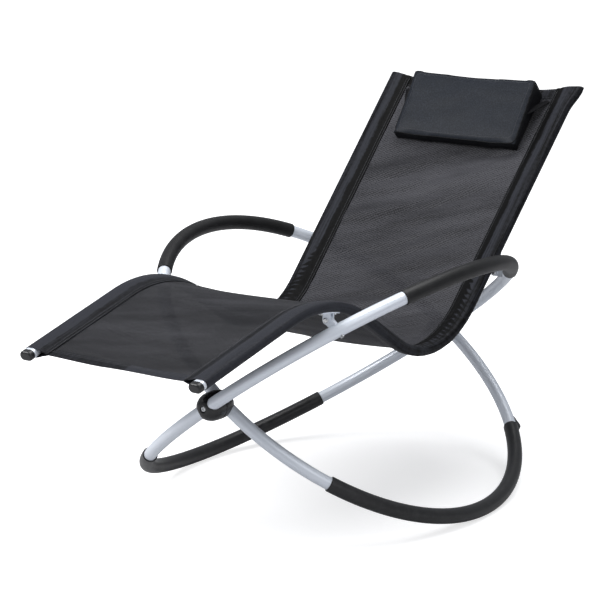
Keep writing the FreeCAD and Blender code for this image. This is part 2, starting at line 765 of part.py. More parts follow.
def make_bracket(name, place, station):
    """A folded plate under the rail: a web with two screws and two ears round the post."""
    side = SIDES[name]
    frame = hinge_frame(name, station)
    distance = plan_distance(station)
    half_gap = dim("post_thickness") / 2 + dim("ear_clearance")
    half_fork = half_gap + dim("ear_thickness")
    radius = dim("eye_radius")

    def under(offset, drop):
        """A point under the rail, seen in the hinge frame."""
        spot = rail_frame(name, distance + offset, dim("hinge_offset"), drop)
        return frame.inverse().multVec(spot.Base)

    def side_point(offset, drop):
        point = under(offset, drop)
        return (point.y, point.z, 0)

    web = dim("web_thickness")
    steepness = rail_at(distance)[1]
    half_web = dim("web_length") / 2 * steepness.y
    back = under(half_fork, RAIL_HALF + web / 2)
    ahead = under(-half_fork, RAIL_HALF + web / 2)
    slope = (back.z - ahead.z) / (back.y - ahead.y)
    middle_z = back.z - slope * back.y
    fork = new_body(f"{name}_{place}_fork")
    fork_sketch = new_sketch(fork, fork.Label + "_side", "YZ_Plane")
    inner_drop = web / 2 * math.sqrt(1 + slope ** 2)

    def top(y, drop=0):
        return (y, middle_z + slope * y - drop, 0)

    outline(fork_sketch, [
        (-half_fork, -radius, 0), (-half_gap, -radius, 0), top(-half_gap, inner_drop), top(half_gap, inner_drop),
        (half_gap, -radius, 0), (half_fork, -radius, 0), top(half_fork), top(-half_fork)])
    pad(fork, fork_sketch, 2 * radius, "dims.eye_radius * 2")
    fork.Placement = frame
    eye = new_body(f"{name}_{place}_eye")
    eye_sketch = new_sketch(eye, eye.Label + "_front", "XZ_Plane")
    tall = max(back.z, ahead.z) + 2 * web
    outline(
        eye_sketch, [(radius, 0, 0), (radius, tall, 0), (-radius, tall, 0), (-radius, 0, 0)],
        {3: (0, -radius, 0)})
    add_circle(eye_sketch, 0, "bolt", dim("hinge_diameter") / 2, "dims.hinge_diameter / 2")
    pad(eye, eye_sketch, 2 * half_fork, "2 * (dims.post_thickness / 2 + dims.ear_clearance + dims.ear_thickness)")
    eye.Placement = frame
    ears = doc.addObject("Part::MultiCommon", f"{name}_{place}_ears")
    ears.Shapes = [fork, eye]
    plate = new_body(f"{name}_{place}_web")
    plate_sketch = new_sketch(plate, plate.Label + "_side", "YZ_Plane")
    corners = [
        side_point(-half_web, RAIL_HALF), side_point(half_web, RAIL_HALF),
        side_point(half_web, RAIL_HALF + web), side_point(-half_web, RAIL_HALF + web)]
    bulges = {}
    if place == "front":
        bulges = {0: side_point(0, RAIL_HALF), 2: side_point(0, RAIL_HALF + web)}
    outline(plate_sketch, corners, bulges)
    pad(plate, plate_sketch, 2 * radius, "dims.eye_radius * 2")
    plate.Placement = frame
    blank = fuse(f"{name}_{place}_bracket_blank", [ears, plate])
    screws = []
    for end, offset in (("a", -1), ("b", 1)):
        screw_at = offset * (dim("web_length") / 2 - dim("web_screw_inset")) * steepness.y
        spot = rail_frame(name, distance + screw_at, dim("hinge_offset"), RAIL_HALF + web)
        down = spot.Rotation.multVec(V(0, 0, -1))
        head = cylinder(
            f"{name}_{place}_screw_{end}_head", dim("screw_head_diameter") / 2, "dims.screw_head_diameter / 2",
            dim("screw_head_height"), "dims.screw_head_height", along(spot.Base, down))
        shank = cylinder(
            f"{name}_{place}_screw_{end}_shank", dim("screw_diameter") / 2, "dims.screw_diameter / 2",
            web + dim("web_screw_reach"), None, along(spot.Base, down * -1))
        screws.append(fuse(f"{name}_{place}_bracket_screw_{end}", [head, shank]))
    pair = fuse(f"{name}_{place}_bracket_screws", screws)
    bracket = cut(f"{name}_{place}_bracket", blank, pair)
    return bracket, pair


def make_hinge_bolt(name, place, station):
    """A pan-head bolt along the hinge line through both ears and the post, with its nut."""
    frame = hinge_frame(name, station)
    half_fork = dim("post_thickness") / 2 + dim("ear_clearance") + dim("ear_thickness")
    forward = frame.Rotation.multVec(V(0, -1, 0))
    head_at = frame.multVec(V(0, -half_fork, 0))
    height = dim("hinge_head_height")
    body = new_body(f"{name}_{place}_bolt_head")
    sketch = new_sketch(body, body.Label + "_rim", "XY_Plane")
    add_circle(sketch, 0, "rim", dim("hinge_head_diameter") / 2, "dims.hinge_head_diameter / 2")
    head = pad(body, sketch, height, "dims.hinge_head_height", midplane=False)

    def crown_rim(edge):
        return all(abs(v.Point.z - height) < 1e-3 for v in edge.Vertexes)
    round_edges(body, head, dim("hinge_head_rounding"), "dims.hinge_head_rounding", crown_rim)
    body.Placement = along(head_at, forward)
    shank = cylinder(
        f"{name}_{place}_bolt_shank", dim("hinge_diameter") / 2, "dims.hinge_diameter / 2",
        2 * half_fork + dim("nut_height") + dim("thread_overrun"), None, along(head_at, forward * -1))
    bolt = fuse(f"{name}_{place}_hinge_bolt", [body, shank])
    nut = make_nut(f"{name}_{place}_hinge_nut", dim("nut_radius"), "hinge_diameter", dim("nut_height"))
    nut.Placement = along(frame.multVec(V(0, half_fork, 0)), forward * -1)
    return bolt, nut


def make_pocket(name):
    """The sling's edge sleeve round the rail, with the seam flange and two bracket slits."""
    side = SIDES[name]
    inset = dim("pocket_inset")
    body = new_body(name + "_pocket_blank")
    gap = dim("pocket_gap")
    cloth = dim("pocket_cloth")
    section = section_sketch(body, body.Label + "_section")
    leg = (rail_edges()[1][0] - rail_edges()[0]).normalize()
    section.AttachmentOffset = Placement(
        V(0, rail_corners()[0].z + leg.z * inset, -leg.y * inset), Rotation(X_AXIS, dim("leg_slope")))
    path = path_sketch(body, inset, dim("pocket_overrun"))
    add_slot(section, dim("rail_width") / 2 + gap + cloth, RAIL_HALF + gap + cloth)
    add_slot(section, dim("rail_width") / 2 + gap, RAIL_HALF + gap)
    sweep(body, section, path)
    flange = section_sketch(body, body.Label + "_flange")
    flange.AttachmentOffset = section.AttachmentOffset
    root = dim("rail_width") / 2 + gap + cloth * 0.4
    tip = dim("rail_width") / 2 + gap + cloth + dim("flange_reach")
    half = dim("flange_thickness") / 2
    outline(flange, [(-side * root, -half, 0), (-side * tip, -half, 0), (-side * tip, half, 0), (-side * root, half, 0)])
    sweep(body, flange, path)
    body.Placement = rail_placement(side)
    slits = []
    for place, station in zip(("front", "rear"), hinge_stations(name)):
        slit = doc.addObject("Part::Box", f"{name}_{place}_slit")
        slit.Length = dim("slit_width")
        slit.setExpression("Length", "dims.slit_width")
        slit.Width = dim("slit_length")
        slit.setExpression("Width", "dims.slit_length")
        slit.Height = dim("slit_depth")
        slit.setExpression("Height", "dims.slit_depth")
        frame = rail_frame(name, plan_distance(station), dim("hinge_offset"), dim("slit_drop"))
        corner = V(-dim("slit_width") / 2, -dim("slit_length") / 2, 0)
        slit.Placement = frame.multiply(Placement(corner, Rotation()))
        slits.append(slit)
    return cut(name + "_sling_pocket", body, fuse(name + "_slits", slits))


def make_rail(name):
    rail = make_rail_tube(name)
    brackets = []
    screws = []
    bolts = []
    nuts = []
    for place, station in zip(("front", "rear"), hinge_stations(name)):
        bracket, pair = make_bracket(name, place, station)
        bolt, nut = make_hinge_bolt(name, place, station)
        brackets.append(bracket)
        screws.append(pair)
        bolts.append(bolt)
        nuts.append(nut)
    all_screws = fuse(name + "_bracket_screws", screws)
    tube = cut(name + "_rail_tube", rail, all_screws)
    reach = dim("leg_reach") + dim("dip_reach") + dim("back_reach")
    foot_cap = make_cap(name, "foot", 0, -1, dim("cap_length"), "dims.cap_length", dim("cap_lip"))
    head_cap = make_cap(name, "head", reach, 1, dim("head_cap_length"), "dims.head_cap_length", 0)
    keep(tube, foot_cap, head_cap, *brackets, all_screws)
    keep(fuse(name + "_hinge_bolts", bolts), fuse(name + "_hinge_nuts", nuts))
    keep(make_pocket(name))


# Sling cloth between the two pockets, and the pillow on it

def sling_stations():
    """Plan distances of the cloth's cross sections: sparse on straight runs, closer on bends."""
    foot, knee_bend, hip_bend, head = rail_edges()
    leg = (knee_bend[0] - foot).normalize()
    back = (head - hip_bend[2]).normalize()
    stations = [foot.y + leg.y * dim("pocket_inset")]
    for bend, steps in ((knee_bend, 6), (hip_bend, 9)):
        for i in range(steps + 1):
            stations.append(bend[0].y + (bend[2].y - bend[0].y) * i / steps)
    stations.append(head.y - 1e-3)
    return stations


def flange_edge(distance):
    """The left flange's edge in plan."""
    inner = dim("rail_width") / 2 + dim("pocket_gap") + dim("pocket_cloth") + dim("flange_reach")
    return rail_placement(LEFT).multVec(V(-inner, distance, 0))


def cloth_section(distance):
    """A sagging strip across the seat, square to the rails."""
    point, tangent = rail_at(distance)
    base = rail_placement(LEFT).multVec(point)
    tangent = V(0, tangent.y, tangent.z).normalize()
    normal = X_AXIS.cross(tangent)
    edge = flange_edge(distance)
    half = edge.x
    centre = V(0, edge.y, base.z)
    half_cloth = dim("mesh_thickness") / 2
    sag = dim("mesh_sag")

    def spot(x, height):
        return centre + X_AXIS * x + normal * height

    right = -(half - dim("mesh_gap"))
    left = half - dim("mesh_seam")
    top_left = spot(left, half_cloth)
    top_right = spot(right, half_cloth)
    low_left = spot(left, -half_cloth)
    low_right = spot(right, -half_cloth)
    return Part.Wire([
        Part.Arc(top_right, spot(0, half_cloth - sag), top_left).toShape(),
        Part.LineSegment(top_left, low_left).toShape(),
        Part.Arc(low_left, spot(0, -half_cloth - sag), low_right).toShape(),
        Part.LineSegment(low_right, top_right).toShape(),
    ])


def make_mesh():
    sections = [cloth_section(station) for station in sling_stations()]
    cloth = doc.addObject("Part::Feature", "sling_mesh")
    cloth.Shape = Part.makeLoft(sections, True, True)
    cloth.Label = "sling_mesh"
    keep(cloth)


def back_frame(distance):
    """Local Y up the backrest, local Z out of it towards the sitter."""
    point, tangent = rail_at(distance)
    base = rail_placement(LEFT).multVec(point)
    tangent = V(0, tangent.y, tangent.z).normalize()
    return Placement(V(0, base.y, base.z), Rotation(X_AXIS, tangent, X_AXIS.cross(tangent), "XYZ"))


def cloth_height(x, distance):
    half = flange_edge(distance).x
    return dim("mesh_thickness") / 2 - dim("mesh_sag") * (1 - (x / half) ** 2)


# Places of the pillow's cross sections across its half width, closer where it rounds off.
PILLOW_SECTIONS = [math.sin(math.radians(angle)) for angle in range(-90, 91, 15)]


def make_pillow():
    """A wedge cushion, thick at the head: crowned front, back along the cloth, boxed sides."""
    reach = dim("pillow_station")
    hip = rail_corners()[2]
    distance = hip.y + reach * cos(dim("back_slope"))
    half_width = dim("pillow_width") / 2
    half_length = dim("pillow_length") / 2
    sections = []
    for part in PILLOW_SECTIONS:
        x = part * half_width
        fullness = 0.7 + 0.3 * math.sqrt(max(0, 1 - part ** 6))
        length = half_length * (0.955 + 0.045 * part ** 4)
        floor = cloth_height(x, distance) + dim("pillow_gap")
        low = dim("pillow_foot_thickness") * fullness
        high = dim("pillow_head_thickness") * fullness
        middle = (low + high) / 2 + dim("pillow_crown") * fullness
        corners = [
            V(x, -length, floor + low * 0.18), V(x, length, floor + high * 0.12),
            V(x, length - 5, floor + high * 0.94), V(x, -length + 5, floor + low * 0.9)]
        sections.append(Part.Wire([
            Part.Arc(corners[0], V(x, 0, floor), corners[1]).toShape(),
            Part.Arc(corners[1], V(x, length + 3 * fullness, floor + high * 0.5), corners[2]).toShape(),
            Part.Arc(corners[2], V(x, 0, floor + middle), corners[3]).toShape(),
            Part.Arc(corners[3], V(x, -length - 2 * fullness, floor + low * 0.5), corners[0]).toShape(),
        ]))
    pillow = doc.addObject("Part::Feature", "head_pillow")
    pillow.Shape = Part.makeLoft(sections, True, True)
    pillow.Label = "head_pillow"
    shift = Placement(V(dim("pillow_offset"), 0, 0), Rotation())
    pillow.Placement = back_frame(distance).multiply(shift)
    keep(pillow)
    make_strap(distance)


def make_strap(distance):
    """An elastic band from the pillow's sides round both rails and behind the cloth."""
    inner = dim("rail_width") / 2 + dim("pocket_gap") + dim("pocket_cloth")
    rail_x = rail_placement(LEFT).multVec(V(0, distance, 0)).x
    outer = rail_x + inner + dim("strap_gap")
    rise = RAIL_HALF + dim("pocket_gap") + dim("pocket_cloth") + dim("strap_gap")
    thick = dim("strap_thickness")
    body = new_body("pillow_strap")
    sketch = new_sketch(body, "strap_loop", "XZ_Plane")
    start = dim("pillow_width") / 2 - dim("strap_inset")
    floor = cloth_height(start, distance) + dim("pillow_gap") + dim("strap_lift")
    left_start = dim("pillow_offset") + start
    right_start = dim("pillow_offset") - start
    skin = rise + thick
    points = [
        (left_start, floor, 0), (rail_x, rise, 0), (rail_x, -rise, 0), (-rail_x, -rise, 0),
        (-rail_x, rise, 0), (right_start, floor, 0), (right_start, floor + thick, 0), (-rail_x, skin, 0),
        (-rail_x, -skin, 0), (rail_x, -skin, 0), (rail_x, skin, 0), (left_start, floor + thick, 0)]
    bulges = {
        1: (outer, 0, 0), 3: (-outer, 0, 0), 7: (-outer - thick, 0, 0), 9: (outer + thick, 0, 0)}
    outline(sketch, points, bulges)
    pad(body, sketch, dim("strap_width"), "dims.strap_width")
    body.Placement = back_frame(distance)
    keep(body)


doc.recompute()
for _name in SIDES:
    make_ring(_name)
make_hubs()
for _name in SIDES:
    make_rail(_name)
make_mesh()
make_pillow()
doc.recompute()


def check(objects):
    for item in objects:
        if "Invalid" in item.State or "Error" in item.State:
            raise RuntimeError(f"{item.Label} did not compute: {item.State}")


check(doc.Objects)
os.makedirs("parts", exist_ok=True)
for node in NODES:
    shape = node.Shape
    if shape.isNull() or not shape.isValid():
        raise RuntimeError(f"{node.Label} has no valid shape")
    shape.exportStep(f"parts/{node.Label}.step")
    print(node.Label, len(shape.Solids), round(shape.Volume / 1000, 2), "cm3")
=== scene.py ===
import json
import math

import bmesh
import bpy
from mathutils import Matrix, Vector, noise
from mathutils.bvhtree import BVHTree


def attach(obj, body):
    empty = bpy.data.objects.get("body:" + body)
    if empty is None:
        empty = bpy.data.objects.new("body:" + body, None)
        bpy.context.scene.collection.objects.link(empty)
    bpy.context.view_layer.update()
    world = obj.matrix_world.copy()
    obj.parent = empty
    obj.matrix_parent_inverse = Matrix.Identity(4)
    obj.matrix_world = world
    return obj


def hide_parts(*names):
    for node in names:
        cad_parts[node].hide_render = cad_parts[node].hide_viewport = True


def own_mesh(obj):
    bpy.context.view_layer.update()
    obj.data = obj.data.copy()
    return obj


# Folding rocking lounger with a sling seat. Metres, +Z up, the foot end towards -Y.
# The camera stands where the photograph's stood, and every soft part is modelled here
# over the solids that carry it.

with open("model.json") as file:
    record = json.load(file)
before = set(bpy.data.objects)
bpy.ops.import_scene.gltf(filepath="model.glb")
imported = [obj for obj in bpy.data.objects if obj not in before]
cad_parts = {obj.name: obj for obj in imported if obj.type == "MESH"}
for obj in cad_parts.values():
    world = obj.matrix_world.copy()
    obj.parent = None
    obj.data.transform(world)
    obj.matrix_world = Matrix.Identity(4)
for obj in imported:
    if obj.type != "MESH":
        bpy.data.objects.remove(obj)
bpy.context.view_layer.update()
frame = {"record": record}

joints = {joint["name"]: joint for joint in frame["record"]["behaviour"]["joints"]}
HUB = Vector(joints["fold"]["pos_m"])

# Seat rail: flat oval tube bent in one upright plane, the same values as the solids have.
RAIL_HALF_WIDTH = 0.015
RAIL_HALF_HEIGHT = 0.010
FOOT_STATION = -0.7974
FOOT_HEIGHT = 0.1684
RAIL_OFFSET = 0.2092
SPLAY = math.radians(1.344)
LEG_SLOPE = math.radians(12.8)
DIP_SLOPE = math.radians(-33)
BACK_SLOPE = math.radians(43.3)
LEG_REACH = 0.436
DIP_REACH = 0.408
BACK_REACH = 0.593
CREST_RADIUS = 0.355
HIP_RADIUS = 0.240

# Sling
CLOTH_START = 0.008
CLOTH_OVERRUN = 0.006
SEAM_INSET = 0.0414
BAND_SKIN = 0.0013
BAND_RADIUS = RAIL_HALF_HEIGHT + BAND_SKIN
BAND_THICKNESS = 0.0008
SEAT_THICKNESS = 0.0009
LAYER_GAP = 0.0009
RAIL_SHOULDER = 0.004
SAG_LEG = 0.003
SAG_SEAT = 0.008
HEM_WIDTH = 0.034
FOOT_HEM_WIDTH = HEM_WIDTH * 0.7
HEM_DIP = 0.007
HEM_DIP_REACH = 0.09
STITCH_PITCH = 0.0042

# Pillow, in the backrest's plane
PILLOW_STATION = 0.712
PILLOW_WIDTH = 0.342
PILLOW_LENGTH = 0.176
PILLOW_FOOT_THICKNESS = 0.028
PILLOW_HEAD_THICKNESS = 0.060
PILLOW_CROWN = 0.005
PILLOW_OFFSET = 0.008

# Camera, measured from the middle of the hub line
CAMERA_PLACE = Vector((2.514, -3.8497, 1.2531))
CAMERA_LOOK = Vector((-0.54633, 0.80433, -0.23364))
CAMERA_LENS = 126.8
SENSOR_WIDTH = 36.0

SIDES = {"left": 1, "right": -1}


class RailPath:
    """The rail's centre line by arc length: three straight runs and two tangent bends.

    Each part is (start, length, tip, slope, bend per metre).
    """

    def __init__(self):
        foot = Vector((0, FOOT_HEIGHT))
        knee = foot + Vector((LEG_REACH, LEG_REACH * math.tan(LEG_SLOPE)))
        hip = knee + Vector((DIP_REACH, DIP_REACH * math.tan(DIP_SLOPE)))
        head = hip + Vector((BACK_REACH, BACK_REACH * math.tan(BACK_SLOPE)))
        knee_tangent = CREST_RADIUS * math.tan((LEG_SLOPE - DIP_SLOPE) / 2)
        hip_tangent = HIP_RADIUS * math.tan((BACK_SLOPE - DIP_SLOPE) / 2)
        self.parts = []
        self.length = 0
        self.add_run(foot, LEG_SLOPE, (knee - foot).length - knee_tangent)
        self.add_bend(LEG_SLOPE, DIP_SLOPE, CREST_RADIUS)
        self.add_run(None, DIP_SLOPE, (hip - knee).length - knee_tangent - hip_tangent)
        self.add_bend(DIP_SLOPE, BACK_SLOPE, HIP_RADIUS)
        self.add_run(None, BACK_SLOPE, (head - hip).length - hip_tangent)
        self.hip_station = self.length - (head - hip).length

    def add_run(self, start, slope, length):
        if start is not None:
            self.tip = start
        self.parts.append((self.length, length, self.tip, slope, 0))
        self.tip = self.tip + Vector((math.cos(slope), math.sin(slope))) * length
        self.length += length

    def add_bend(self, slope_in, slope_out, radius):
        turn = slope_out - slope_in
        length = abs(turn) * radius
        self.parts.append((self.length, length, self.tip, slope_in, turn / length))
        chord = 2 * radius * math.sin(abs(turn) / 2)
        middle = (slope_in + slope_out) / 2
        self.tip = self.tip + Vector((math.cos(middle), math.sin(middle))) * chord
        self.length += length

    def at(self, s):
        """Place and slope at arc length s, running on straight past both ends."""
        chosen = self.parts[0]
        for part in self.parts:
            if s >= part[0]:
                chosen = part
        tip, slope, bend = chosen[2:]
        along = s - chosen[0]
        if bend == 0:
            return tip + Vector((math.cos(slope), math.sin(slope))) * along, slope
        end_slope = slope + bend * along
        chord = 2 / abs(bend) * math.sin(abs(bend) * along / 2)
        middle = (slope + end_slope) / 2
        return tip + Vector((math.cos(middle), math.sin(middle))) * chord, end_slope


PATH = RailPath()
CLOTH_END = PATH.length + CLOTH_OVERRUN
CLOTH_LENGTH = CLOTH_END - CLOTH_START


def rail_frame(side, s):
    """Place on a rail's centre line, with its tangent, its upward normal and its outward side."""
    place, slope = PATH.at(s)
    run = Vector((side * math.sin(SPLAY), math.cos(SPLAY), 0))
    outward = Vector((side * math.cos(SPLAY), -math.sin(SPLAY), 0))
    origin = HUB + Vector((side * RAIL_OFFSET, FOOT_STATION, 0))
    point = origin + run * place.x + Vector((0, 0, place.y))
    tangent = run * math.cos(slope) + Vector((0, 0, math.sin(slope)))
    normal = run * -math.sin(slope) + Vector((0, 0, math.cos(slope)))
    return point, tangent, normal, outward


def rail_place(side, s, out, up):
    """A point beside the rail's centre line: out to the side and up, square to the rail."""
    point, _, normal, outward = rail_frame(side, s)
    return point + outward * out + normal * up


def smooth(value, low, high):
    t = max(0.0, min(1.0, (value - low) / (high - low)))
    return t * t * (3 - 2 * t)


def ripple(x, y, z, size):
    return noise.noise(Vector((x, y, z)) / size)


# Materials

def new_material(name, colour, roughness, metallic=0.0):
    material = bpy.data.materials.new(name)
    material.use_nodes = True
    nodes = material.node_tree.nodes
    shader = nodes["Principled BSDF"]
    shader.inputs["Base Color"].default_value = (*colour, 1)
    shader.inputs["Roughness"].default_value = roughness
    shader.inputs["Metallic"].default_value = metallic
    return material, material.node_tree, shader


def texture_place(tree, scale=(1, 1, 1), kind="Object", turn=0.0):
    """Texture coordinates in metres, stretched, then turned by an angle."""
    coordinates = tree.nodes.new("ShaderNodeTexCoord")
    mapping = tree.nodes.new("ShaderNodeMapping")
    mapping.vector_type = "TEXTURE" if turn else "POINT"
    mapping.inputs["Rotation"].default_value = (0, 0, turn)
    if turn:
        scale = [1 / value for value in scale]
    mapping.inputs["Scale"].default_value = scale
    tree.links.new(coordinates.outputs[kind], mapping.inputs["Vector"])
    return mapping.outputs["Vector"]


def cloth_place(tree, scale=(1, 1, 1), turn=0.0):
    """The same on a cloth: X runs across it and Y along the rail."""
    return texture_place(tree, scale, "UV", turn)


def noise_texture(tree, vector, scale, detail=3.0, roughness=0.55):
    texture = tree.nodes.new("ShaderNodeTexNoise")
    texture.inputs["Scale"].default_value = scale
    texture.inputs["Detail"].default_value = detail
    texture.inputs["Roughness"].default_value = roughness
    tree.links.new(vector, texture.inputs["Vector"])
    return texture.outputs["Fac"]


def paint(tree, shader, factor, low, high, colour_low, colour_high):
    """Colour from one tone to another as the factor goes from low to high."""
    node = tree.nodes.new("ShaderNodeValToRGB")
    node.color_ramp.elements[0].position = low
    node.color_ramp.elements[1].position = high
    node.color_ramp.elements[0].color = (*colour_low, 1)
    node.color_ramp.elements[1].color = (*colour_high, 1)
    tree.links.new(factor, node.inputs["Fac"])
    tree.links.new(node.outputs["Color"], shader.inputs["Base Color"])


def roughen(tree, shader, factor, low, high):
    """Roughness from low to high as the factor goes from 0 to 1."""
    node = tree.nodes.new("ShaderNodeMapRange")
    node.inputs["To Min"].default_value = low
    node.inputs["To Max"].default_value = high
    tree.links.new(factor, node.inputs["Value"])
    tree.links.new(node.outputs["Result"], shader.inputs["Roughness"])


def bump(tree, shader, height, strength, distance, under=None):
    node = tree.nodes.new("ShaderNodeBump")
    node.inputs["Strength"].default_value = strength
    node.inputs["Distance"].default_value = distance
    tree.links.new(height, node.inputs["Height"])
    if under is not None:
        tree.links.new(under, node.inputs["Normal"])
    tree.links.new(node.outputs["Normal"], shader.inputs["Normal"])
    return node.outputs["Normal"]


def wave(tree, vector, direction, pitch, distortion=0.0):
    """Bands with a pitch in metres; the node repeats every tau / (20 * scale)."""
    node = tree.nodes.new("ShaderNodeTexWave")
    node.wave_type = "BANDS"
    node.bands_direction = direction
    node.inputs["Scale"].default_value = 1 / pitch / 20 * math.tau
    node.inputs["Distortion"].default_value = distortion
    node.inputs["Detail"].default_value = 1.0
    tree.links.new(vector, node.inputs["Vector"])
    return node.outputs["Fac"]


def combine(tree, operation, first, second):
    node = tree.nodes.new("ShaderNodeMath")
    node.operation = operation
    for socket, value in zip(node.inputs, (first, second)):
        if isinstance(value, (int, float)):
            socket.default_value = value
        else:
            tree.links.new(value, socket)
    return node.outputs["Value"]


def weighted_sum(tree, *terms):
    """Sum of (value, weight) pairs."""
    total = None
    for value, weight in terms:
        part = value if weight == 1 else combine(tree, "MULTIPLY", value, weight)
        total = part if total is None else combine(tree, "ADD", total, part)
    return total


def smooth_range(tree, value, start, end, first=0.0, last=1.0):
    """From first to last, smoothly, while the value goes from start to end."""
    node = tree.nodes.new("ShaderNodeMapRange")
    node.interpolation_type = "SMOOTHSTEP"
    node.inputs["From Min"].default_value = start
    node.inputs["From Max"].default_value = end
    node.inputs["To Min"].default_value = first
    node.inputs["To Max"].default_value = last
    tree.links.new(value, node.inputs["Value"])
    return node.outputs["Result"]


def split_place(tree):
    """The cloth's own coordinates as two values: across, and the station along the rail."""
    parts = tree.nodes.new("ShaderNodeSeparateXYZ")
    tree.links.new(cloth_place(tree), parts.inputs["Vector"])
    return parts.outputs["X"], parts.outputs["Y"]


def silver_paint():
    """Powder-coated tube: pale blue-grey with fine flakes and orange peel."""
    material, tree, shader = new_material("silver_paint", (0.62, 0.66, 0.71), 0.36, 0.25)
    place = texture_place(tree)
    flakes = noise_texture(tree, place, 2600, 1.0)
    tone = noise_texture(tree, place, 14, 3.0)
    mixed = weighted_sum(tree, (flakes, 0.5), (tone, 0.5))
    paint(tree, shader, mixed, 0.3, 0.7, (0.74, 0.79, 0.87), (0.82, 0.86, 0.93))
    roughen(tree, shader, tone, 0.30, 0.42)
    bump(tree, shader, noise_texture(tree, place, 420, 2.0), 0.12, 0.0004)
    shader.inputs["Coat Weight"].default_value = 0.25
    shader.inputs["Coat Roughness"].default_value = 0.2
    return material


def foam_rubber():
    """Closed-cell foam grip: black, satin, with fine pores."""
    material, tree, shader = new_material("foam", (0.012, 0.012, 0.013), 0.5)
    place = texture_place(tree)
    patches = noise_texture(tree, place, 22, 3.0)
    paint(tree, shader, patches, 0.35, 0.7, (0.006, 0.006, 0.0065), (0.012, 0.012, 0.013))
    roughen(tree, shader, patches, 0.38, 0.54)
    bump(tree, shader, noise_texture(tree, place, 900, 2.0), 0.18, 0.0003)
    shader.inputs["Specular IOR Level"].default_value = 0.35
    return material


def black_rubber():
    """Moulded rubber sleeve and stopper: black with a soft sheen and light scuffs."""
    material, tree, shader = new_material("black_rubber", (0.011, 0.011, 0.012), 0.38)
    place = texture_place(tree)
    scuffs = noise_texture(tree, place, 55, 5.0, 0.7)
    paint(tree, shader, scuffs, 0.45, 0.8, (0.009, 0.009, 0.010), (0.024, 0.024, 0.026))
    roughen(tree, shader, scuffs, 0.30, 0.52)
    bump(tree, shader, noise_texture(tree, place, 350, 3.0), 0.10, 0.0003)
    return material


def moulded_plastic(name, gloss):
    """Black injection-moulded plastic with a fine spark-eroded grain."""
    material, tree, shader = new_material(name, (0.010, 0.010, 0.011), gloss)
    place = texture_place(tree)
    tone = noise_texture(tree, place, 40, 2.0)
    paint(tree, shader, tone, 0.3, 0.7, (0.008, 0.008, 0.009), (0.016, 0.016, 0.018))
    roughen(tree, shader, tone, gloss - 0.05, gloss + 0.08)
    bump(tree, shader, noise_texture(tree, place, 1400, 2.0), 0.08, 0.0002)
    return material


def zinc_steel():
    """Zinc-plated screw: bright, slightly mottled."""
    material, tree, shader = new_material("zinc", (0.62, 0.63, 0.64), 0.24, 1.0)
    mottle = noise_texture(tree, texture_place(tree), 300, 3.0)
    paint(tree, shader, mottle, 0.3, 0.7, (0.50, 0.51, 0.53), (0.74, 0.75, 0.76))
    roughen(tree, shader, mottle, 0.18, 0.34)
    bump(tree, shader, mottle, 0.06, 0.0002)
    return material


def weave_heights(tree, pitch_across, pitch_along):
    """Height of two crossing sets of threads, their pitches in metres."""
    place = cloth_place(tree)
    across = wave(tree, place, "X", pitch_across)
    along = wave(tree, place, "Y", pitch_along)
    return combine(tree, "MULTIPLY", across, along)


def mesh_cloth():
    """Open coated-yarn mesh: charcoal, fine weave, with painted light and shade in drifts along its
    folds, painted shade over the legs and a little painted light on the back.
    """
    material, tree, shader = new_material("mesh_cloth", (0.02, 0.02, 0.02), 0.5)
    threads = weave_heights(tree, 0.0039, 0.0030)
    # Painted light and shade: lighter and darker drifts that stand in for the shading of the folds.
    painted_fold_light_and_shade = noise_texture(tree, cloth_place(tree, (1.9, 9, 1), 0.36), 1.0, 4.0, 0.6)
    grain = noise_texture(tree, cloth_place(tree), 260, 1.0)
    diagonal = wave(tree, cloth_place(tree, turn=0.62), "Y", 0.0055, 2.5)
    # Painted light and shade by station: darker over the legs, a little lighter on the back.
    painted_back_light = smooth_range(tree, split_place(tree)[1], 0.45, 0.85, -0.11, 0.008)
    tone = weighted_sum(tree, (painted_fold_light_and_shade, 0.75), (threads, 0.36), (grain, 0.42), (diagonal, 0.20),
                        (painted_back_light, 1))
    paint(tree, shader, tone, 0.64, 0.92, (0.0024, 0.0026, 0.0042), (0.069, 0.0690, 0.0790))
    roughen(tree, shader, grain, 0.42, 0.66)
    rough = bump(tree, shader, grain, 0.25, 0.0008)
    bump(tree, shader, threads, 0.35, 0.0005, rough)
    shader.inputs["Alpha"].default_value = 0.925
    shader.inputs["Specular IOR Level"].default_value = 0.14
    shader.inputs["Sheen Weight"].default_value = 0.03
    return material


# Wedges of painted shade across the band's edge at the hips: their pitch and reach.
WEDGE_PITCH = 0.0150
WEDGE_REACH = 0.030
# Width of the strip of painted shade beside the seam.
PAINTED_SHADE_STRIP = 0.018


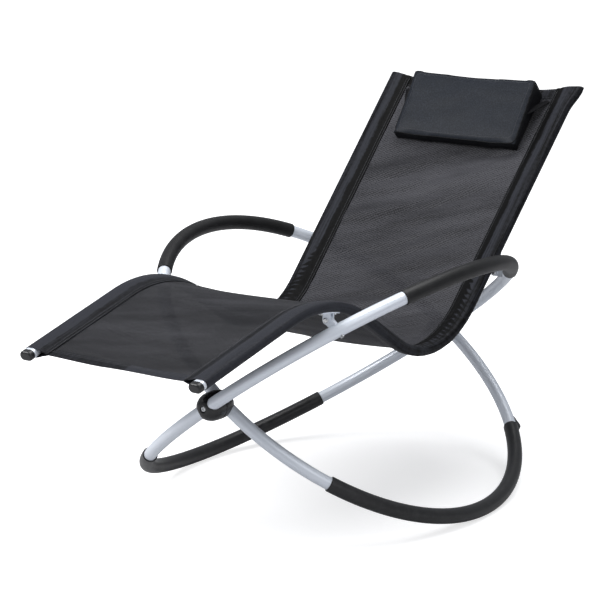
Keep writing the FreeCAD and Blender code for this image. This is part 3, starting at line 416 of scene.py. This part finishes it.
def band_tone(tree, streaks, mottle):
    """Painted shade beside the seam and painted sheen over the rail; at the hips wedges of painted
    shade cross the edge, and painted shade marks the puckers; painted shade round the rail's outer
    side, painted light over the legs.
    """
    across, station = split_place(tree)
    from_hip = combine(tree, "SUBTRACT", station, PATH.hip_station + 0.05)
    at_hip = smooth_range(tree, combine(tree, "ABSOLUTE", from_hip, 0), 0.26, 0.10)
    wobble = noise_texture(tree, cloth_place(tree, (18, 40, 1)), 1.0, 3.0)
    slant = weighted_sum(tree, (station, 1), (across, 0.5), (wobble, 0.022))
    wedge = combine(tree, "PINGPONG", slant, WEDGE_PITCH / 2)
    wedge = combine(tree, "MULTIPLY", wedge, 2 / WEDGE_PITCH * WEDGE_REACH)
    edge = weighted_sum(tree, (combine(tree, "MULTIPLY", wedge, at_hip), 1), (wobble, 0.010))
    from_edge = combine(tree, "SUBTRACT", combine(tree, "SUBTRACT", across, edge), PAINTED_SHADE_STRIP)
    # Painted shade in the hollow beside the seam, painted sheen over the rail.
    painted_rail_sheen = smooth_range(tree, from_edge, -0.0025, 0.0045)
    # Painted light over the legs.
    painted_leg_light = smooth_range(tree, station, 0.85, 0.45, 0.0, 0.22)
    # Painted shade where the band turns round the rail's outer side.
    painted_outer_shade = smooth_range(tree, across, 0.034, 0.047, 0.0, -0.20)
    # Painted shade of the puckers at the hips.
    puckers = noise_texture(tree, cloth_place(tree, (22, 75, 1), 0.35), 1.0, 2.0)
    puckers = combine(tree, "MULTIPLY", combine(tree, "SUBTRACT", puckers, 0.52), at_hip)
    return weighted_sum(tree, (streaks, 0.80), (mottle, 0.30), (painted_rail_sheen, 0.42), (painted_outer_shade, 1),
                        (painted_leg_light, 1), (puckers, 0.5))


def band_cloth():
    """Closely woven edge cloth: navy-black, streaked lengthwise."""
    material, tree, shader = new_material("band_cloth", (0.01, 0.01, 0.013), 0.55)
    threads = weave_heights(tree, 0.0009, 0.0011)
    streaks = noise_texture(tree, cloth_place(tree, (200, 4, 1)), 1.4, 3.0)
    mottle = noise_texture(tree, cloth_place(tree), 120, 3.0)
    # The tone carries painted shade and painted sheen from band_tone.
    tone = band_tone(tree, streaks, mottle)
    paint(tree, shader, tone, 0.66, 1.14, (0.0006, 0.0006, 0.0008), (0.026, 0.0275, 0.0345))
    roughen(tree, shader, streaks, 0.42, 0.60)
    soft = bump(tree, shader, mottle, 0.25, 0.0012)
    bump(tree, shader, threads, 0.25, 0.0003, soft)
    shader.inputs["Specular IOR Level"].default_value = 0.09
    shader.inputs["Sheen Weight"].default_value = 0.02
    return material


def leatherette(name, low, high):
    """Coated pillow cover: dark navy-charcoal with a pebbled grain."""
    material, tree, shader = new_material(name, low, 0.5)
    place = texture_place(tree)
    cells = tree.nodes.new("ShaderNodeTexVoronoi")
    cells.inputs["Scale"].default_value = 330
    tree.links.new(place, cells.inputs["Vector"])
    tone = noise_texture(tree, place, 9, 3.0)
    pebble = weighted_sum(tree, (tone, 0.45), (cells.outputs["Distance"], 0.75))
    paint(tree, shader, pebble, 0.25, 0.85, low, high)
    roughen(tree, shader, tone, 0.44, 0.56)
    bump(tree, shader, cells.outputs["Distance"], 0.25, 0.0005)
    shader.inputs["Specular IOR Level"].default_value = 0.17
    return material


def elastic_cloth():
    """Ribbed elastic ribbon."""
    material, tree, shader = new_material("elastic", (0.012, 0.012, 0.014), 0.7)
    ribs = wave(tree, cloth_place(tree), "Y", 0.0018)
    paint(tree, shader, ribs, 0.2, 0.9, (0.002, 0.002, 0.0025), (0.007, 0.007, 0.009))
    bump(tree, shader, ribs, 0.4, 0.0004)
    shader.inputs["Specular IOR Level"].default_value = 0.1
    return material


def thread_cotton():
    """Sewing thread, slightly paler than the cloth."""
    material, tree, shader = new_material("thread", (0.03, 0.031, 0.037), 0.6)
    twist = noise_texture(tree, texture_place(tree), 1500, 2.0)
    paint(tree, shader, twist, 0.3, 0.7, (0.020, 0.021, 0.026), (0.060, 0.062, 0.072))
    bump(tree, shader, twist, 0.3, 0.0002)
    return material


MATERIALS = {
    "silver_paint": silver_paint(),
    "foam": foam_rubber(),
    "black_rubber": black_rubber(),
    "hub_plastic": moulded_plastic("hub_plastic", 0.24),
    "cap_plastic": moulded_plastic("cap_plastic", 0.30),
    "zinc": zinc_steel(),
    "mesh_cloth": mesh_cloth(),
    "band_cloth": band_cloth(),
    "pillow_cloth": leatherette("pillow_cloth", (0.0045, 0.0062, 0.0095),
                                (0.016, 0.0195, 0.0275)),
    "elastic": elastic_cloth(),
}
# A darker copy of the pillow cover: painted shade for the pillow's sides, also used for its piping.
PILLOW_SHADED_SIDE = leatherette("pillow_shaded_side", (0.003, 0.003, 0.004), (0.007, 0.0075, 0.009))
THREAD = thread_cotton()


def round_shading(node):
    """The dome's narrow bands read as one curve; its corners stay crisp."""
    for polygon in node.data.polygons:
        polygon.use_smooth = True
    weld = node.modifiers.new("joined", "WELD")
    weld.merge_threshold = 0.00001
    split = node.modifiers.new("crisp", "EDGE_SPLIT")
    split.split_angle = math.radians(28)


def dress_solids():
    """Every solid that stays gets the material of its slot."""
    slots = {part["node"]: part["material_slot"] for part in frame["record"]["subparts"]}
    for name, slot in slots.items():
        node = bpy.data.objects[name]
        node.data.materials.clear()
        node.data.materials.append(MATERIALS[slot])
        if name.endswith("hub_shell"):
            round_shading(node)


dress_solids()


# Mesh helpers

def make_object(name, vertices, faces, materials, uvs=None, face_material=None,
                shade_smooth=True):
    mesh = bpy.data.meshes.new(name)
    mesh.from_pydata([tuple(v) for v in vertices], [], faces)
    if uvs is not None:
        layer = mesh.uv_layers.new(name="cloth")
        for loop in mesh.loops:
            layer.data[loop.index].uv = uvs[loop.vertex_index]
    for material in materials:
        mesh.materials.append(material)
    if face_material is not None:
        for polygon, index in zip(mesh.polygons, face_material):
            polygon.material_index = index
    mesh.validate()
    mesh.update()
    if shade_smooth:
        for polygon in mesh.polygons:
            polygon.use_smooth = True
    piece = bpy.data.objects.new(name, mesh)
    bpy.context.scene.collection.objects.link(piece)
    return piece


def grid_faces(rows, columns):
    faces = []
    for i in range(rows - 1):
        for j in range(columns - 1):
            corner = i * columns + j
            faces.append((corner, corner + 1, corner + columns + 1, corner + columns))
    return faces


def join_parts(parts):
    """One list of vertices and one of faces from many (vertices, faces) pairs."""
    vertices = []
    faces = []
    for part_vertices, part_faces in parts:
        base = len(vertices)
        vertices += part_vertices
        faces += [tuple(v + base for v in face) for face in part_faces]
    return vertices, faces


def apply_modifiers(piece):
    depsgraph = bpy.context.evaluated_depsgraph_get()
    mesh = bpy.data.meshes.new_from_object(piece.evaluated_get(depsgraph))
    old = piece.data
    piece.modifiers.clear()
    piece.data = mesh
    mesh.name = piece.name
    bpy.data.meshes.remove(old)


def thicken(piece, thickness, offset):
    modifier = piece.modifiers.new("cloth_thickness", "SOLIDIFY")
    modifier.thickness = thickness
    modifier.offset = offset
    apply_modifiers(piece)


# Side bands: the cloth goes round the rail and its two layers meet at a sewn seam.

BAND_STEPS = 640
FLANGE_POINTS = 12
ROUND_POINTS = 13


def band_rise(t):
    """Share of the rail's height reached at t on the way from the seam to the rail."""
    return 0.30 * smooth(t, 0.0, 0.22) + 0.70 * smooth(t, 0.16, 1.0)


def band_flange():
    """The upper layer from the seam to the rail's shoulder, as (out, up, slack)."""
    points = []
    for i in range(FLANGE_POINTS):
        t = i / (FLANGE_POINTS - 1)
        out = -SEAM_INSET + t * (SEAM_INSET - RAIL_SHOULDER)
        up = LAYER_GAP + (BAND_RADIUS - LAYER_GAP) * band_rise(t)
        points.append((out, up, math.sin(math.pi * t)))
    return points


def band_profile():
    """Points round the rail from the upper seam line to the lower one, (out, up, slack)."""
    reach = RAIL_HALF_WIDTH - RAIL_HALF_HEIGHT
    top = band_flange()
    outside = []
    for i in range(ROUND_POINTS):
        angle = math.pi / 2 - math.pi * i / (ROUND_POINTS - 1)
        outside.append((reach + BAND_RADIUS * math.cos(angle), BAND_RADIUS * math.sin(angle), 0))
    return top + outside + [(out, -up, slack) for out, up, slack in reversed(top)]


def corner_ear(side, s, out):
    """The head corner of the cloth runs past the rail: how far along, outwards, and how flat."""
    past = smooth(s, PATH.length - 0.020, CLOTH_END)
    outer = smooth(out, -0.030, 0.016)
    if side < 0:
        return 0.002 * past * outer, 0, 1
    along = 0.010 * past * outer
    beyond = smooth(s + along, PATH.length + 0.006, PATH.length + 0.015)
    ear = 0.011 * smooth(s, PATH.length - 0.075, CLOTH_END) ** 2 * outer ** 3
    return along, ear, 1 - 0.45 * beyond


def bell(value, middle, width):
    return math.exp(-((value - middle) / width) ** 2)


def band_lift(side, s, out, around, slack):
    """How far the cloth stands off its plain form: darts and puckers in the hollow, long ridges."""
    hip = bell(s, PATH.hip_station + 0.03, 0.13)
    crest = bell(s, 0.42, 0.14)
    back = smooth(s, PATH.hip_station, PATH.hip_station + 0.2)
    dart = ripple(s - 0.5 * out, side * 3.0, around * 0.25, 0.013)
    dart = 0.0120 * hip * max(0, dart + 0.05) + 0.0010 * (0.35 + 0.6 * crest) * dart
    ridge = 0.0022 * (0.5 + back) * ripple(around, s * 0.06, side * 2.0, 0.013)
    if slack == 0:
        return 0.15 * abs(dart) + 0.15 * abs(ridge)
    seam_pull = 0.0007 * bell(out, -SEAM_INSET, 0.008) * ripple(s, side * 5.0, 0.0, 0.006)
    hollow = 1 - smooth(out, -0.024, -0.0165)
    return slack * (0.5 * ridge + hollow * (0.5 * ridge - dart)) + seam_pull


def make_band(name):
    side = SIDES[name]
    profile = band_profile()
    around = [0]
    for first, second in zip(profile, profile[1:]):
        around.append(around[-1] + math.dist(first[:2], second[:2]))
    vertices = []
    uvs = []
    for i in range(BAND_STEPS + 1):
        s = CLOTH_START + CLOTH_LENGTH * i / BAND_STEPS
        for girth, (out, up, slack) in zip(around, profile):
            along, ear, flat = corner_ear(side, s, out)
            lift = band_lift(side, s, out, girth, slack)
            up += lift if up >= 0 else -lift
            vertices.append(rail_place(side, s + along, out + ear, up * flat))
            uvs.append((girth, s))
    faces = grid_faces(BAND_STEPS + 1, len(profile))
    if side > 0:
        faces = [tuple(reversed(face)) for face in faces]
    band = make_object(name + "_side_band", vertices, faces, [MATERIALS["band_cloth"]], uvs)
    thicken(band, BAND_THICKNESS, 1)
    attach(band, name + "_rail")
    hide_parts(name + "_sling_pocket")


# Seat cloth between the two seams

SEAT_ROWS = 460
SEAT_COLUMNS = 110
SEAM_OVERLAP = 0.003


def seam_place(s):
    """The left edge of the seat cloth, held a little way inside the band."""
    return rail_place(1, s, -SEAM_INSET + SEAM_OVERLAP, 0)


def sag(s):
    """Hang of the cloth's middle below its seams: taut over the legs, slack under the sitter."""
    return SAG_LEG + (SAG_SEAT - SAG_LEG) * smooth(s, 0.45, 0.85)


def seat_frame(s):
    """Middle of the seat at station s on the seams' level, its tangent and its normal."""
    tangent = rail_frame(1, s)[1]
    tangent = Vector((0, tangent.y, tangent.z)).normalized()
    edge = seam_place(s)
    return Vector((0, edge.y, edge.z)), tangent, Vector((1, 0, 0)).cross(tangent)


def gather_at_left_seam(piece):
    """Folded, the rails all but touch; here the piece only gets its own copy of its mesh, and its
    cloth is not gathered.
    """
    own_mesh(piece)


def crease(value, edge=0.05):
    """A soft fold with a crisp valley where the value crosses zero."""
    return math.sqrt(value * value + edge * edge) - edge


def seat_wrinkle(s, x, across):
    """Long folds that climb across the back towards the left, and a slight hang between them."""
    edge = 1 - across * across
    hip = bell(s, PATH.hip_station + 0.05, 0.16)
    back = smooth(s, PATH.hip_station, PATH.hip_station + 0.25)
    leg = 1 - smooth(s, 0.25, 0.5)
    bend = 0.030 * ripple(x, s, 2.0, 0.20)
    folds = crease(ripple(x * 0.22, s - 0.42 * x + bend, 1.5, 0.052))
    fine = crease(ripple(x * 0.30 + 3.0, s - 0.25 * x + bend, 6.5, 0.036), 0.08)
    flat_folds = crease(ripple(x * 0.16, s + 0.10 * x, 9.0, 0.040))
    hollows = ripple(x * 0.5, s, 4.0, 0.12)
    edge_pull = ripple(s - 0.3 * abs(x), x * 0.3, 11.0, 0.016) * bell(abs(across), 1, 0.10)
    height = edge ** 0.6 * (0.0150 * back * folds + 0.0030 * (0.3 + back + hip) * fine)
    height += edge ** 0.6 * 0.0060 * (0.4 * leg + hip + 0.2) * flat_folds
    height += 0.0040 * edge * hollows
    height += 0.0012 * (0.3 + 2 * hip) * edge_pull * min(1, edge * 6)
    return height - 0.0020 * edge


def seat_point(s, across, lift=0.0):
    """A point of the seat cloth, across from -1 at the right seam to 1 at the left; its normal."""
    head = smooth(s, CLOTH_END - HEM_DIP_REACH, CLOTH_END)
    dipped = s - head * HEM_DIP * (1 - across ** 4)
    centre, _, normal = seat_frame(dipped)
    x = across * seam_place(dipped).x
    drop = sag(dipped) * (1 - across * across)
    rise = seat_wrinkle(s, x, across)
    return centre + Vector((x, 0, 0)) + normal * (rise - drop + lift), normal


def make_seat():
    vertices = []
    uvs = []
    for i in range(SEAT_ROWS + 1):
        s = CLOTH_START + CLOTH_LENGTH * i / SEAT_ROWS
        for j in range(SEAT_COLUMNS + 1):
            point = seat_point(s, -1 + 2 * j / SEAT_COLUMNS)[0]
            vertices.append(point)
            uvs.append((point.x, s))
    faces = grid_faces(SEAT_ROWS + 1, SEAT_COLUMNS + 1)
    kinds = []
    for face in faces:
        s = sum(uvs[v][1] for v in face) / 4
        hem = s > CLOTH_END - HEM_WIDTH or s < CLOTH_START + FOOT_HEM_WIDTH
        kinds.append(1 if hem else 0)
    seat = make_object("sling_seat", vertices, faces,
                       [MATERIALS["mesh_cloth"], MATERIALS["band_cloth"]], uvs, kinds)
    thicken(seat, SEAT_THICKNESS, 0)
    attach(seat, "left_rail")
    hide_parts("sling_mesh")
    gather_at_left_seam(seat)


# Stitching: short threads laid on the cloth

STITCH_CLEARANCE = 0.0001
SEAM_STITCH_ROWS = ((0.0022, (1, -1)), (0.0078, (1,)))


def stitch_rows(points, normals, width=0.0009, height=0.0006, gap=0.35):
    """Vertices and faces of many short rounded threads along a line of points."""
    vertices = []
    faces = []
    for first, second, normal in zip(points, points[1:], normals):
        direction = second - first
        if direction.length < 1e-6:
            continue
        end = first + direction * (1 - gap)
        side = direction.normalized().cross(normal).normalized() * (width / 2)
        base = len(vertices)
        middle = (first + end) / 2 + normal * height
        for point in (first, end):
            vertices.append(point - side + normal * STITCH_CLEARANCE)
            vertices.append(point + side + normal * STITCH_CLEARANCE)
        vertices.append(middle - side * 0.8)
        vertices.append(middle + side * 0.8)
        faces.append((base, base + 1, base + 5, base + 4))
        faces.append((base + 4, base + 5, base + 3, base + 2))
        faces.append((base, base + 4, base + 2))
        faces.append((base + 1, base + 3, base + 5))
    return vertices, faces


def make_seam_stitches(name):
    side = SIDES[name]
    count = int((CLOTH_LENGTH - 0.01) / STITCH_PITCH)
    parts = []
    for inset, faces_up in SEAM_STITCH_ROWS:
        t = inset / (SEAM_INSET - RAIL_SHOULDER)
        up = LAYER_GAP + (BAND_RADIUS - LAYER_GAP) * t ** 0.8 + 0.0011
        for top in faces_up:
            points = []
            normals = []
            for i in range(count + 1):
                s = CLOTH_START + 0.005 + i * STITCH_PITCH
                points.append(rail_place(side, s, inset - SEAM_INSET, up * top))
                normals.append(rail_frame(side, s)[2] * top)
            parts.append(stitch_rows(points, normals))
    threads = make_object(name + "_seam_stitches", *join_parts(parts), [THREAD])
    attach(threads, name + "_rail")


def make_hem_stitches(name, stations):
    parts = []
    for s in stations:
        count = int(2 * seam_place(s).x / STITCH_PITCH)
        places = [seat_point(s, -0.985 + 1.97 * i / count, 0.0005) for i in range(count + 1)]
        parts.append(stitch_rows(*zip(*places)))
    threads = make_object(name, *join_parts(parts), [THREAD])
    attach(threads, "left_rail")
    gather_at_left_seam(threads)


# Head pillow: a boxed wedge cushion in coated cloth, swelled by a short cloth simulation

PILLOW_MIDDLE = PATH.hip_station + PILLOW_STATION
PILLOW_ROUNDING = 9


def back_frame(s):
    centre, tangent, normal = seat_frame(s)
    rotation = Matrix((Vector((1, 0, 0)), tangent, normal)).transposed().to_4x4()
    return Matrix.Translation(centre) @ rotation


PILLOW_PLACE = back_frame(PILLOW_MIDDLE)
PILLOW_MATRIX = PILLOW_PLACE @ Matrix.Translation((PILLOW_OFFSET, 0, 0))


def pillow_floor(x):
    """Level of the cloth under the pillow, measured from the seams."""
    return 0.0020 - SAG_SEAT * (1 - (x / seam_place(PILLOW_MIDDLE).x) ** 2)


def pillow_thickness(v):
    """Thickness along the pillow: v is -1 at the foot edge and 1 at the head edge."""
    growth = PILLOW_HEAD_THICKNESS - PILLOW_FOOT_THICKNESS
    return PILLOW_FOOT_THICKNESS + growth * (v + 1) / 2


def pillow_point(u, v, w):
    """Boxed cushion: u and v run -1..1 over the face, w is 0 on the back and 1 in front."""
    half_width = PILLOW_WIDTH / 2 - 0.003
    half_length = PILLOW_LENGTH / 2 - 0.003
    x = u * half_width * (1 - 0.010 * (1 - v * v) * abs(u))
    y = v * half_length * (1 - 0.014 * (1 - u * u) * abs(v))
    crown = PILLOW_CROWN * (1 - u ** 4) * (1 - v ** 4)
    low = pillow_floor(x)
    high = low + pillow_thickness(v) - 0.002 + crown
    return Vector((x, y, low + (high - low) * w))


def make_pillow_shape():
    mesh = bpy.data.meshes.new("pillow_start")
    form = bmesh.new()
    steps = (44, 24, 5)
    index = {}

    def corner(i, j, k):
        key = (i, j, k)
        if key not in index:
            u = -1 + 2 * i / steps[0]
            v = -1 + 2 * j / steps[1]
            index[key] = form.verts.new(pillow_point(u, v, k / steps[2]))
        return index[key]

    def side_faces(fixed, value, first, second):
        for a in range(steps[first]):
            for b in range(steps[second]):
                keys = []
                for da, db in ((0, 0), (1, 0), (1, 1), (0, 1)):
                    key = [0, 0, 0]
                    key[fixed] = value
                    key[first] = a + da
                    key[second] = b + db
                    keys.append(corner(*key))
                form.faces.new(keys)

    for fixed, first, second in ((0, 1, 2), (1, 0, 2), (2, 0, 1)):
        for value in (0, steps[fixed]):
            side_faces(fixed, value, first, second)
    bmesh.ops.recalc_face_normals(form, faces=form.faces)
    form.to_mesh(mesh)
    form.free()
    return mesh


def swell(piece, pressure, cap, frames):
    """Blow the cushion up a little as cloth, holding every point near where it began."""
    remesh = piece.modifiers.new("even_mesh", "REMESH")
    remesh.mode = "VOXEL"
    remesh.voxel_size = 0.004
    apply_modifiers(piece)
    start = [vertex.co.copy() for vertex in piece.data.vertices]
    cloth = piece.modifiers.new("cloth", "CLOTH")
    cloth.settings.use_pressure = True
    cloth.settings.uniform_pressure_force = pressure
    cloth.settings.tension_stiffness = 25
    cloth.settings.compression_stiffness = 25
    cloth.settings.bending_stiffness = 2.0
    cloth.settings.effector_weights.gravity = 0
    cloth.point_cache.frame_start = 1
    cloth.point_cache.frame_end = frames
    scene = bpy.context.scene
    for number in range(1, frames + 1):
        scene.frame_set(number)
    apply_modifiers(piece)
    scene.frame_set(1)
    for vertex, first in zip(piece.data.vertices, start):
        moved = vertex.co - first
        if moved.length > cap:
            vertex.co = first + moved.normalized() * cap


def seat_pillow_back(piece):
    """Nothing of the pillow goes below the cloth it lies on."""
    for vertex in piece.data.vertices:
        vertex.co.z = max(vertex.co.z, pillow_floor(vertex.co.x))


def make_pillow():
    pillow = bpy.data.objects.new("pillow_cushion", make_pillow_shape())
    bpy.context.scene.collection.objects.link(pillow)
    swell(pillow, pressure=1.5, cap=0.0015, frames=14)
    seat_pillow_back(pillow)
    for vertex in pillow.data.vertices:
        vertex.co.z += 0.0010 * ripple(vertex.co.x, vertex.co.y * 1.4, 3.0, 0.05)
    relax = pillow.modifiers.new("relaxed", "SMOOTH")
    relax.factor = 0.5
    relax.iterations = 4
    smoothing = pillow.modifiers.new("soft", "SUBSURF")
    smoothing.levels = 1
    apply_modifiers(pillow)
    mesh = pillow.data
    mesh.materials.clear()
    mesh.materials.append(MATERIALS["pillow_cloth"])
    mesh.materials.append(PILLOW_SHADED_SIDE)
    # Faces turned away from the front get the darker copy: painted shade on the pillow's sides.
    for polygon in mesh.polygons:
        polygon.use_smooth = True
        polygon.material_index = 0 if polygon.normal.z > 0.55 else 1
    surface = BVHTree.FromPolygons([v.co.copy() for v in mesh.vertices],
                                   [tuple(p.vertices) for p in mesh.polygons])
    piping = make_piping(surface)
    stitches = make_pillow_stitches(surface)
    for piece in (pillow, piping, stitches):
        piece.data.transform(PILLOW_MATRIX)
        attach(piece, "pillow")
        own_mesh(piece)
    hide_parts("head_pillow")


def face_loop(inset, count_long=60, count_short=34):
    """Points round the pillow's front face with rounded corners, inset from its edge, as (u, v)."""
    loop = []
    for start, end, count in (
        ((-1, -1), (1, -1), count_long), ((1, -1), (1, 1), count_short),
        ((1, 1), (-1, 1), count_long), ((-1, 1), (-1, -1), count_short),
    ):
        for i in range(count):
            u, v = Vector(start).lerp(Vector(end), i / count)
            size = (abs(u) ** PILLOW_ROUNDING + abs(v) ** PILLOW_ROUNDING) ** (1 / PILLOW_ROUNDING)
            loop.append((u / size * (1 - inset), v / size * (1 - inset)))
    return loop


def tube(name, points, radius, material, sides=8):
    """A closed round cord through a loop of points."""
    vertices = []
    count = len(points)
    for i, point in enumerate(points):
        ahead = (points[(i + 1) % count] - points[i - 1]).normalized()
        first = ahead.cross(Vector((0, 0, 1))).normalized()
        second = first.cross(ahead)
        for k in range(sides):
            angle = math.tau * k / sides
            spoke = first * math.cos(angle) + second * math.sin(angle)
            vertices.append(point + spoke * radius)
    faces = []
    for i in range(count):
        here = i * sides
        ahead = (i + 1) % count * sides
        for k in range(sides):
            m = (k + 1) % sides
            faces.append((here + k, here + m, ahead + m, ahead + k))
    return make_object(name, vertices, faces, [material])


def make_piping(surface):
    points = []
    for u, v in face_loop(0.0):
        outside = Vector((u, v, 0)).normalized() * 0.006 + Vector((0, 0, 0.003))
        place, normal = surface.find_nearest(pillow_point(u, v, 1) + outside)[:2]
        points.append(place + normal * 0.0002)
    return tube("pillow_piping", points, 0.0013, PILLOW_SHADED_SIDE)


def make_pillow_stitches(surface):
    points = []
    normals = []
    for u, v in face_loop(0.045, 84, 46):
        above = pillow_point(u, v, 1) + Vector((0, 0, 0.02))
        place, normal = surface.find_nearest(above)[:2]
        points.append(place + normal * 0.0001)
        normals.append(normal)
    points.append(points[0])
    vertices, faces = stitch_rows(points, normals, width=0.0008, height=0.0004)
    return make_object("pillow_stitches", vertices, faces, [THREAD])


# Elastic ribbon: from the pillow's sides to the seams near the head corners, and across behind

STRAP_WIDTH = 0.018
STRAP_THICKNESS = 0.0013
STRAP_CORNER = Vector((0.197, 0.073))
STRAP_START = Vector((0.010, 0.004, 0.030))


def strap_strip(points, widths):
    """A flat strip through points; widths are the vectors from its middle to one edge."""
    vertices = []
    uvs = []
    run = 0
    for i, (point, width) in enumerate(zip(points, widths)):
        if i:
            run += (point - points[i - 1]).length
        for j in range(5):
            t = -1 + j / 2
            vertices.append(PILLOW_PLACE @ (point + width * t))
            uvs.append((t * STRAP_WIDTH / 2, run))
    return vertices, uvs, grid_faces(len(points), 5)


def strap_front(side):
    """From inside the pillow's gusset, narrowing, down to the seam near the head corner."""
    edge = side * PILLOW_WIDTH / 2 + PILLOW_OFFSET
    start = Vector((edge - side * STRAP_START.x, STRAP_START.y, STRAP_START.z))
    end = Vector((side * STRAP_CORNER.x, STRAP_CORNER.y, 0.0005))
    points = []
    widths = []
    across = Vector((-(end - start).y, (end - start).x, 0)).normalized()
    for i in range(15):
        t = i / 14
        point = start.lerp(end, t)
        point.z = start.z * (1 - t) ** 1.25 + 0.0024 * (1 - t ** 6) - 0.0030 * t ** 10
        half = STRAP_WIDTH / 2 * (1 - 0.35 * smooth(t, 0.2, 1.0))
        points.append(point)
        widths.append((across + Vector((0, 0, 0.25 * side * (1 - t)))).normalized() * half)
    return strap_strip(points, widths)


def strap_behind():
    points = []
    widths = []
    for i in range(41):
        t = -1 + 2 * i / 40
        x = STRAP_CORNER.x * t
        points.append(Vector((x, STRAP_CORNER.y + 0.002, pillow_floor(x) - 0.0062)))
        widths.append(Vector((0, STRAP_WIDTH / 2, 0)))
    return strap_strip(points, widths)


def make_strap():
    strips = (strap_front(1), strap_front(-1), strap_behind())
    vertices, faces = join_parts((strip[0], strip[2]) for strip in strips)
    uvs = [uv for strip in strips for uv in strip[1]]
    strap = make_object("pillow_elastic", vertices, faces, [MATERIALS["elastic"]], uvs)
    thicken(strap, STRAP_THICKNESS, 0)
    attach(strap, "pillow")
    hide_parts("pillow_strap")
    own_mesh(strap)


for side_name in SIDES:
    make_band(side_name)
    make_seam_stitches(side_name)
make_seat()
head_hem = CLOTH_END - HEM_WIDTH
foot_hem = CLOTH_START + FOOT_HEM_WIDTH
make_hem_stitches("head_hem_stitches", (head_hem + 0.002, head_hem + 0.007, CLOTH_END - 0.004))
make_hem_stitches("foot_hem_stitches", (foot_hem - 0.003, foot_hem - 0.008))
make_pillow()
make_strap()


# Camera, light and floor

def make_camera():
    data = bpy.data.cameras.new("camera")
    data.lens = CAMERA_LENS
    data.sensor_fit = "HORIZONTAL"
    data.sensor_width = SENSOR_WIDTH
    data.clip_end = 50
    camera = bpy.data.objects.new("camera", data)
    camera.location = HUB + CAMERA_PLACE
    camera.rotation_euler = CAMERA_LOOK.to_track_quat("-Z", "Y").to_euler()
    bpy.context.scene.collection.objects.link(camera)
    bpy.context.scene.camera = camera


def area_light(name, place, target, size, power):
    data = bpy.data.lights.new(name, "AREA")
    data.shape = "RECTANGLE"
    data.size = size[0]
    data.size_y = size[1]
    data.energy = power
    light = bpy.data.objects.new(name, data)
    light.location = place
    light.rotation_euler = (Vector(target) - Vector(place)).to_track_quat("-Z", "Y").to_euler()
    bpy.context.scene.collection.objects.link(light)


def seen_as_backdrop(tree):
    """1 for a ray from the camera, also through the mesh's openings, and 0 for any other."""
    path = tree.nodes.new("ShaderNodeLightPath")
    return combine(tree, "MAXIMUM", path.outputs["Is Camera Ray"],
                   path.outputs["Is Transmission Ray"])


def make_world():
    """Soft bluish studio light, seen as plain white."""
    world = bpy.data.worlds.new("studio")
    bpy.context.scene.world = world
    world.use_nodes = True
    tree = world.node_tree
    background = tree.nodes["Background"]
    background.inputs["Color"].default_value = (0.92, 0.95, 1.0, 1)
    background.inputs["Strength"].default_value = 0.36
    white = tree.nodes.new("ShaderNodeBackground")
    white.inputs["Color"].default_value = (1, 1, 1, 1)
    white.inputs["Strength"].default_value = 1.0
    mix = tree.nodes.new("ShaderNodeMixShader")
    tree.links.new(seen_as_backdrop(tree), mix.inputs["Fac"])
    tree.links.new(background.outputs["Background"], mix.inputs[1])
    tree.links.new(white.outputs["Background"], mix.inputs[2])
    tree.links.new(mix.outputs["Shader"], tree.nodes["World Output"].inputs["Surface"])


FLOOR_HALF_SIZE = 14
FLOOR_GLOW = 0.52
PATCH_CENTRE = (0.05, 0.20, 0)


def floor_distance(tree):
    """Distance from the middle of the shaded patch, an ellipse a little longer than wide."""
    centred = tree.nodes.new("ShaderNodeVectorMath")
    centred.operation = "SUBTRACT"
    centred.inputs[1].default_value = PATCH_CENTRE
    tree.links.new(texture_place(tree, (1.2, 1, 1)), centred.inputs[0])
    distance = tree.nodes.new("ShaderNodeVectorMath")
    distance.operation = "LENGTH"
    tree.links.new(centred.outputs["Vector"], distance.inputs[0])
    return distance.outputs["Value"]


def make_floor():
    """A wide pale floor: plain white far out, with a soft patch of painted shade under the object,
    in which its own shadow also falls.
    """
    size = FLOOR_HALF_SIZE
    corners = [(-size, -size, 0), (size, -size, 0), (size, size, 0), (-size, size, 0)]
    floor = make_object("floor", corners, [(0, 1, 2, 3)], [], shade_smooth=False)
    material = bpy.data.materials.new("floor")
    material.use_nodes = True
    tree = material.node_tree
    tree.nodes.clear()
    output = tree.nodes.new("ShaderNodeOutputMaterial")
    diffuse = tree.nodes.new("ShaderNodeBsdfDiffuse")
    diffuse.inputs["Color"].default_value = (0.62, 0.62, 0.63, 1)
    glow = tree.nodes.new("ShaderNodeEmission")
    glow.inputs["Color"].default_value = (1, 1, 1, 1)
    # Less glow towards the patch's middle: painted shade under the object.
    fade = smooth_range(tree, floor_distance(tree), 0.10, 0.95, FLOOR_GLOW, 1.0)
    tree.links.new(combine(tree, "MULTIPLY", seen_as_backdrop(tree), fade), glow.inputs["Strength"])
    total = tree.nodes.new("ShaderNodeAddShader")
    tree.links.new(diffuse.outputs["BSDF"], total.inputs[0])
    tree.links.new(glow.outputs["Emission"], total.inputs[1])
    tree.links.new(total.outputs["Shader"], output.inputs["Surface"])
    floor.data.materials.append(material)


make_camera()
make_world()
make_floor()
area_light("key", (-2.2, -2.6, 3.6), (0, 0, 0.4), (2.8, 2.2), 158)
area_light("fill", (3.4, -1.6, 2.4), (0, 0, 0.4), (2.4, 2.4), 22)
area_light("top", (0.4, 0.6, 4.2), (0, 0.1, 0.4), (3.2, 2.4), 100)

bpy.context.scene.view_settings.view_transform = "Standard"
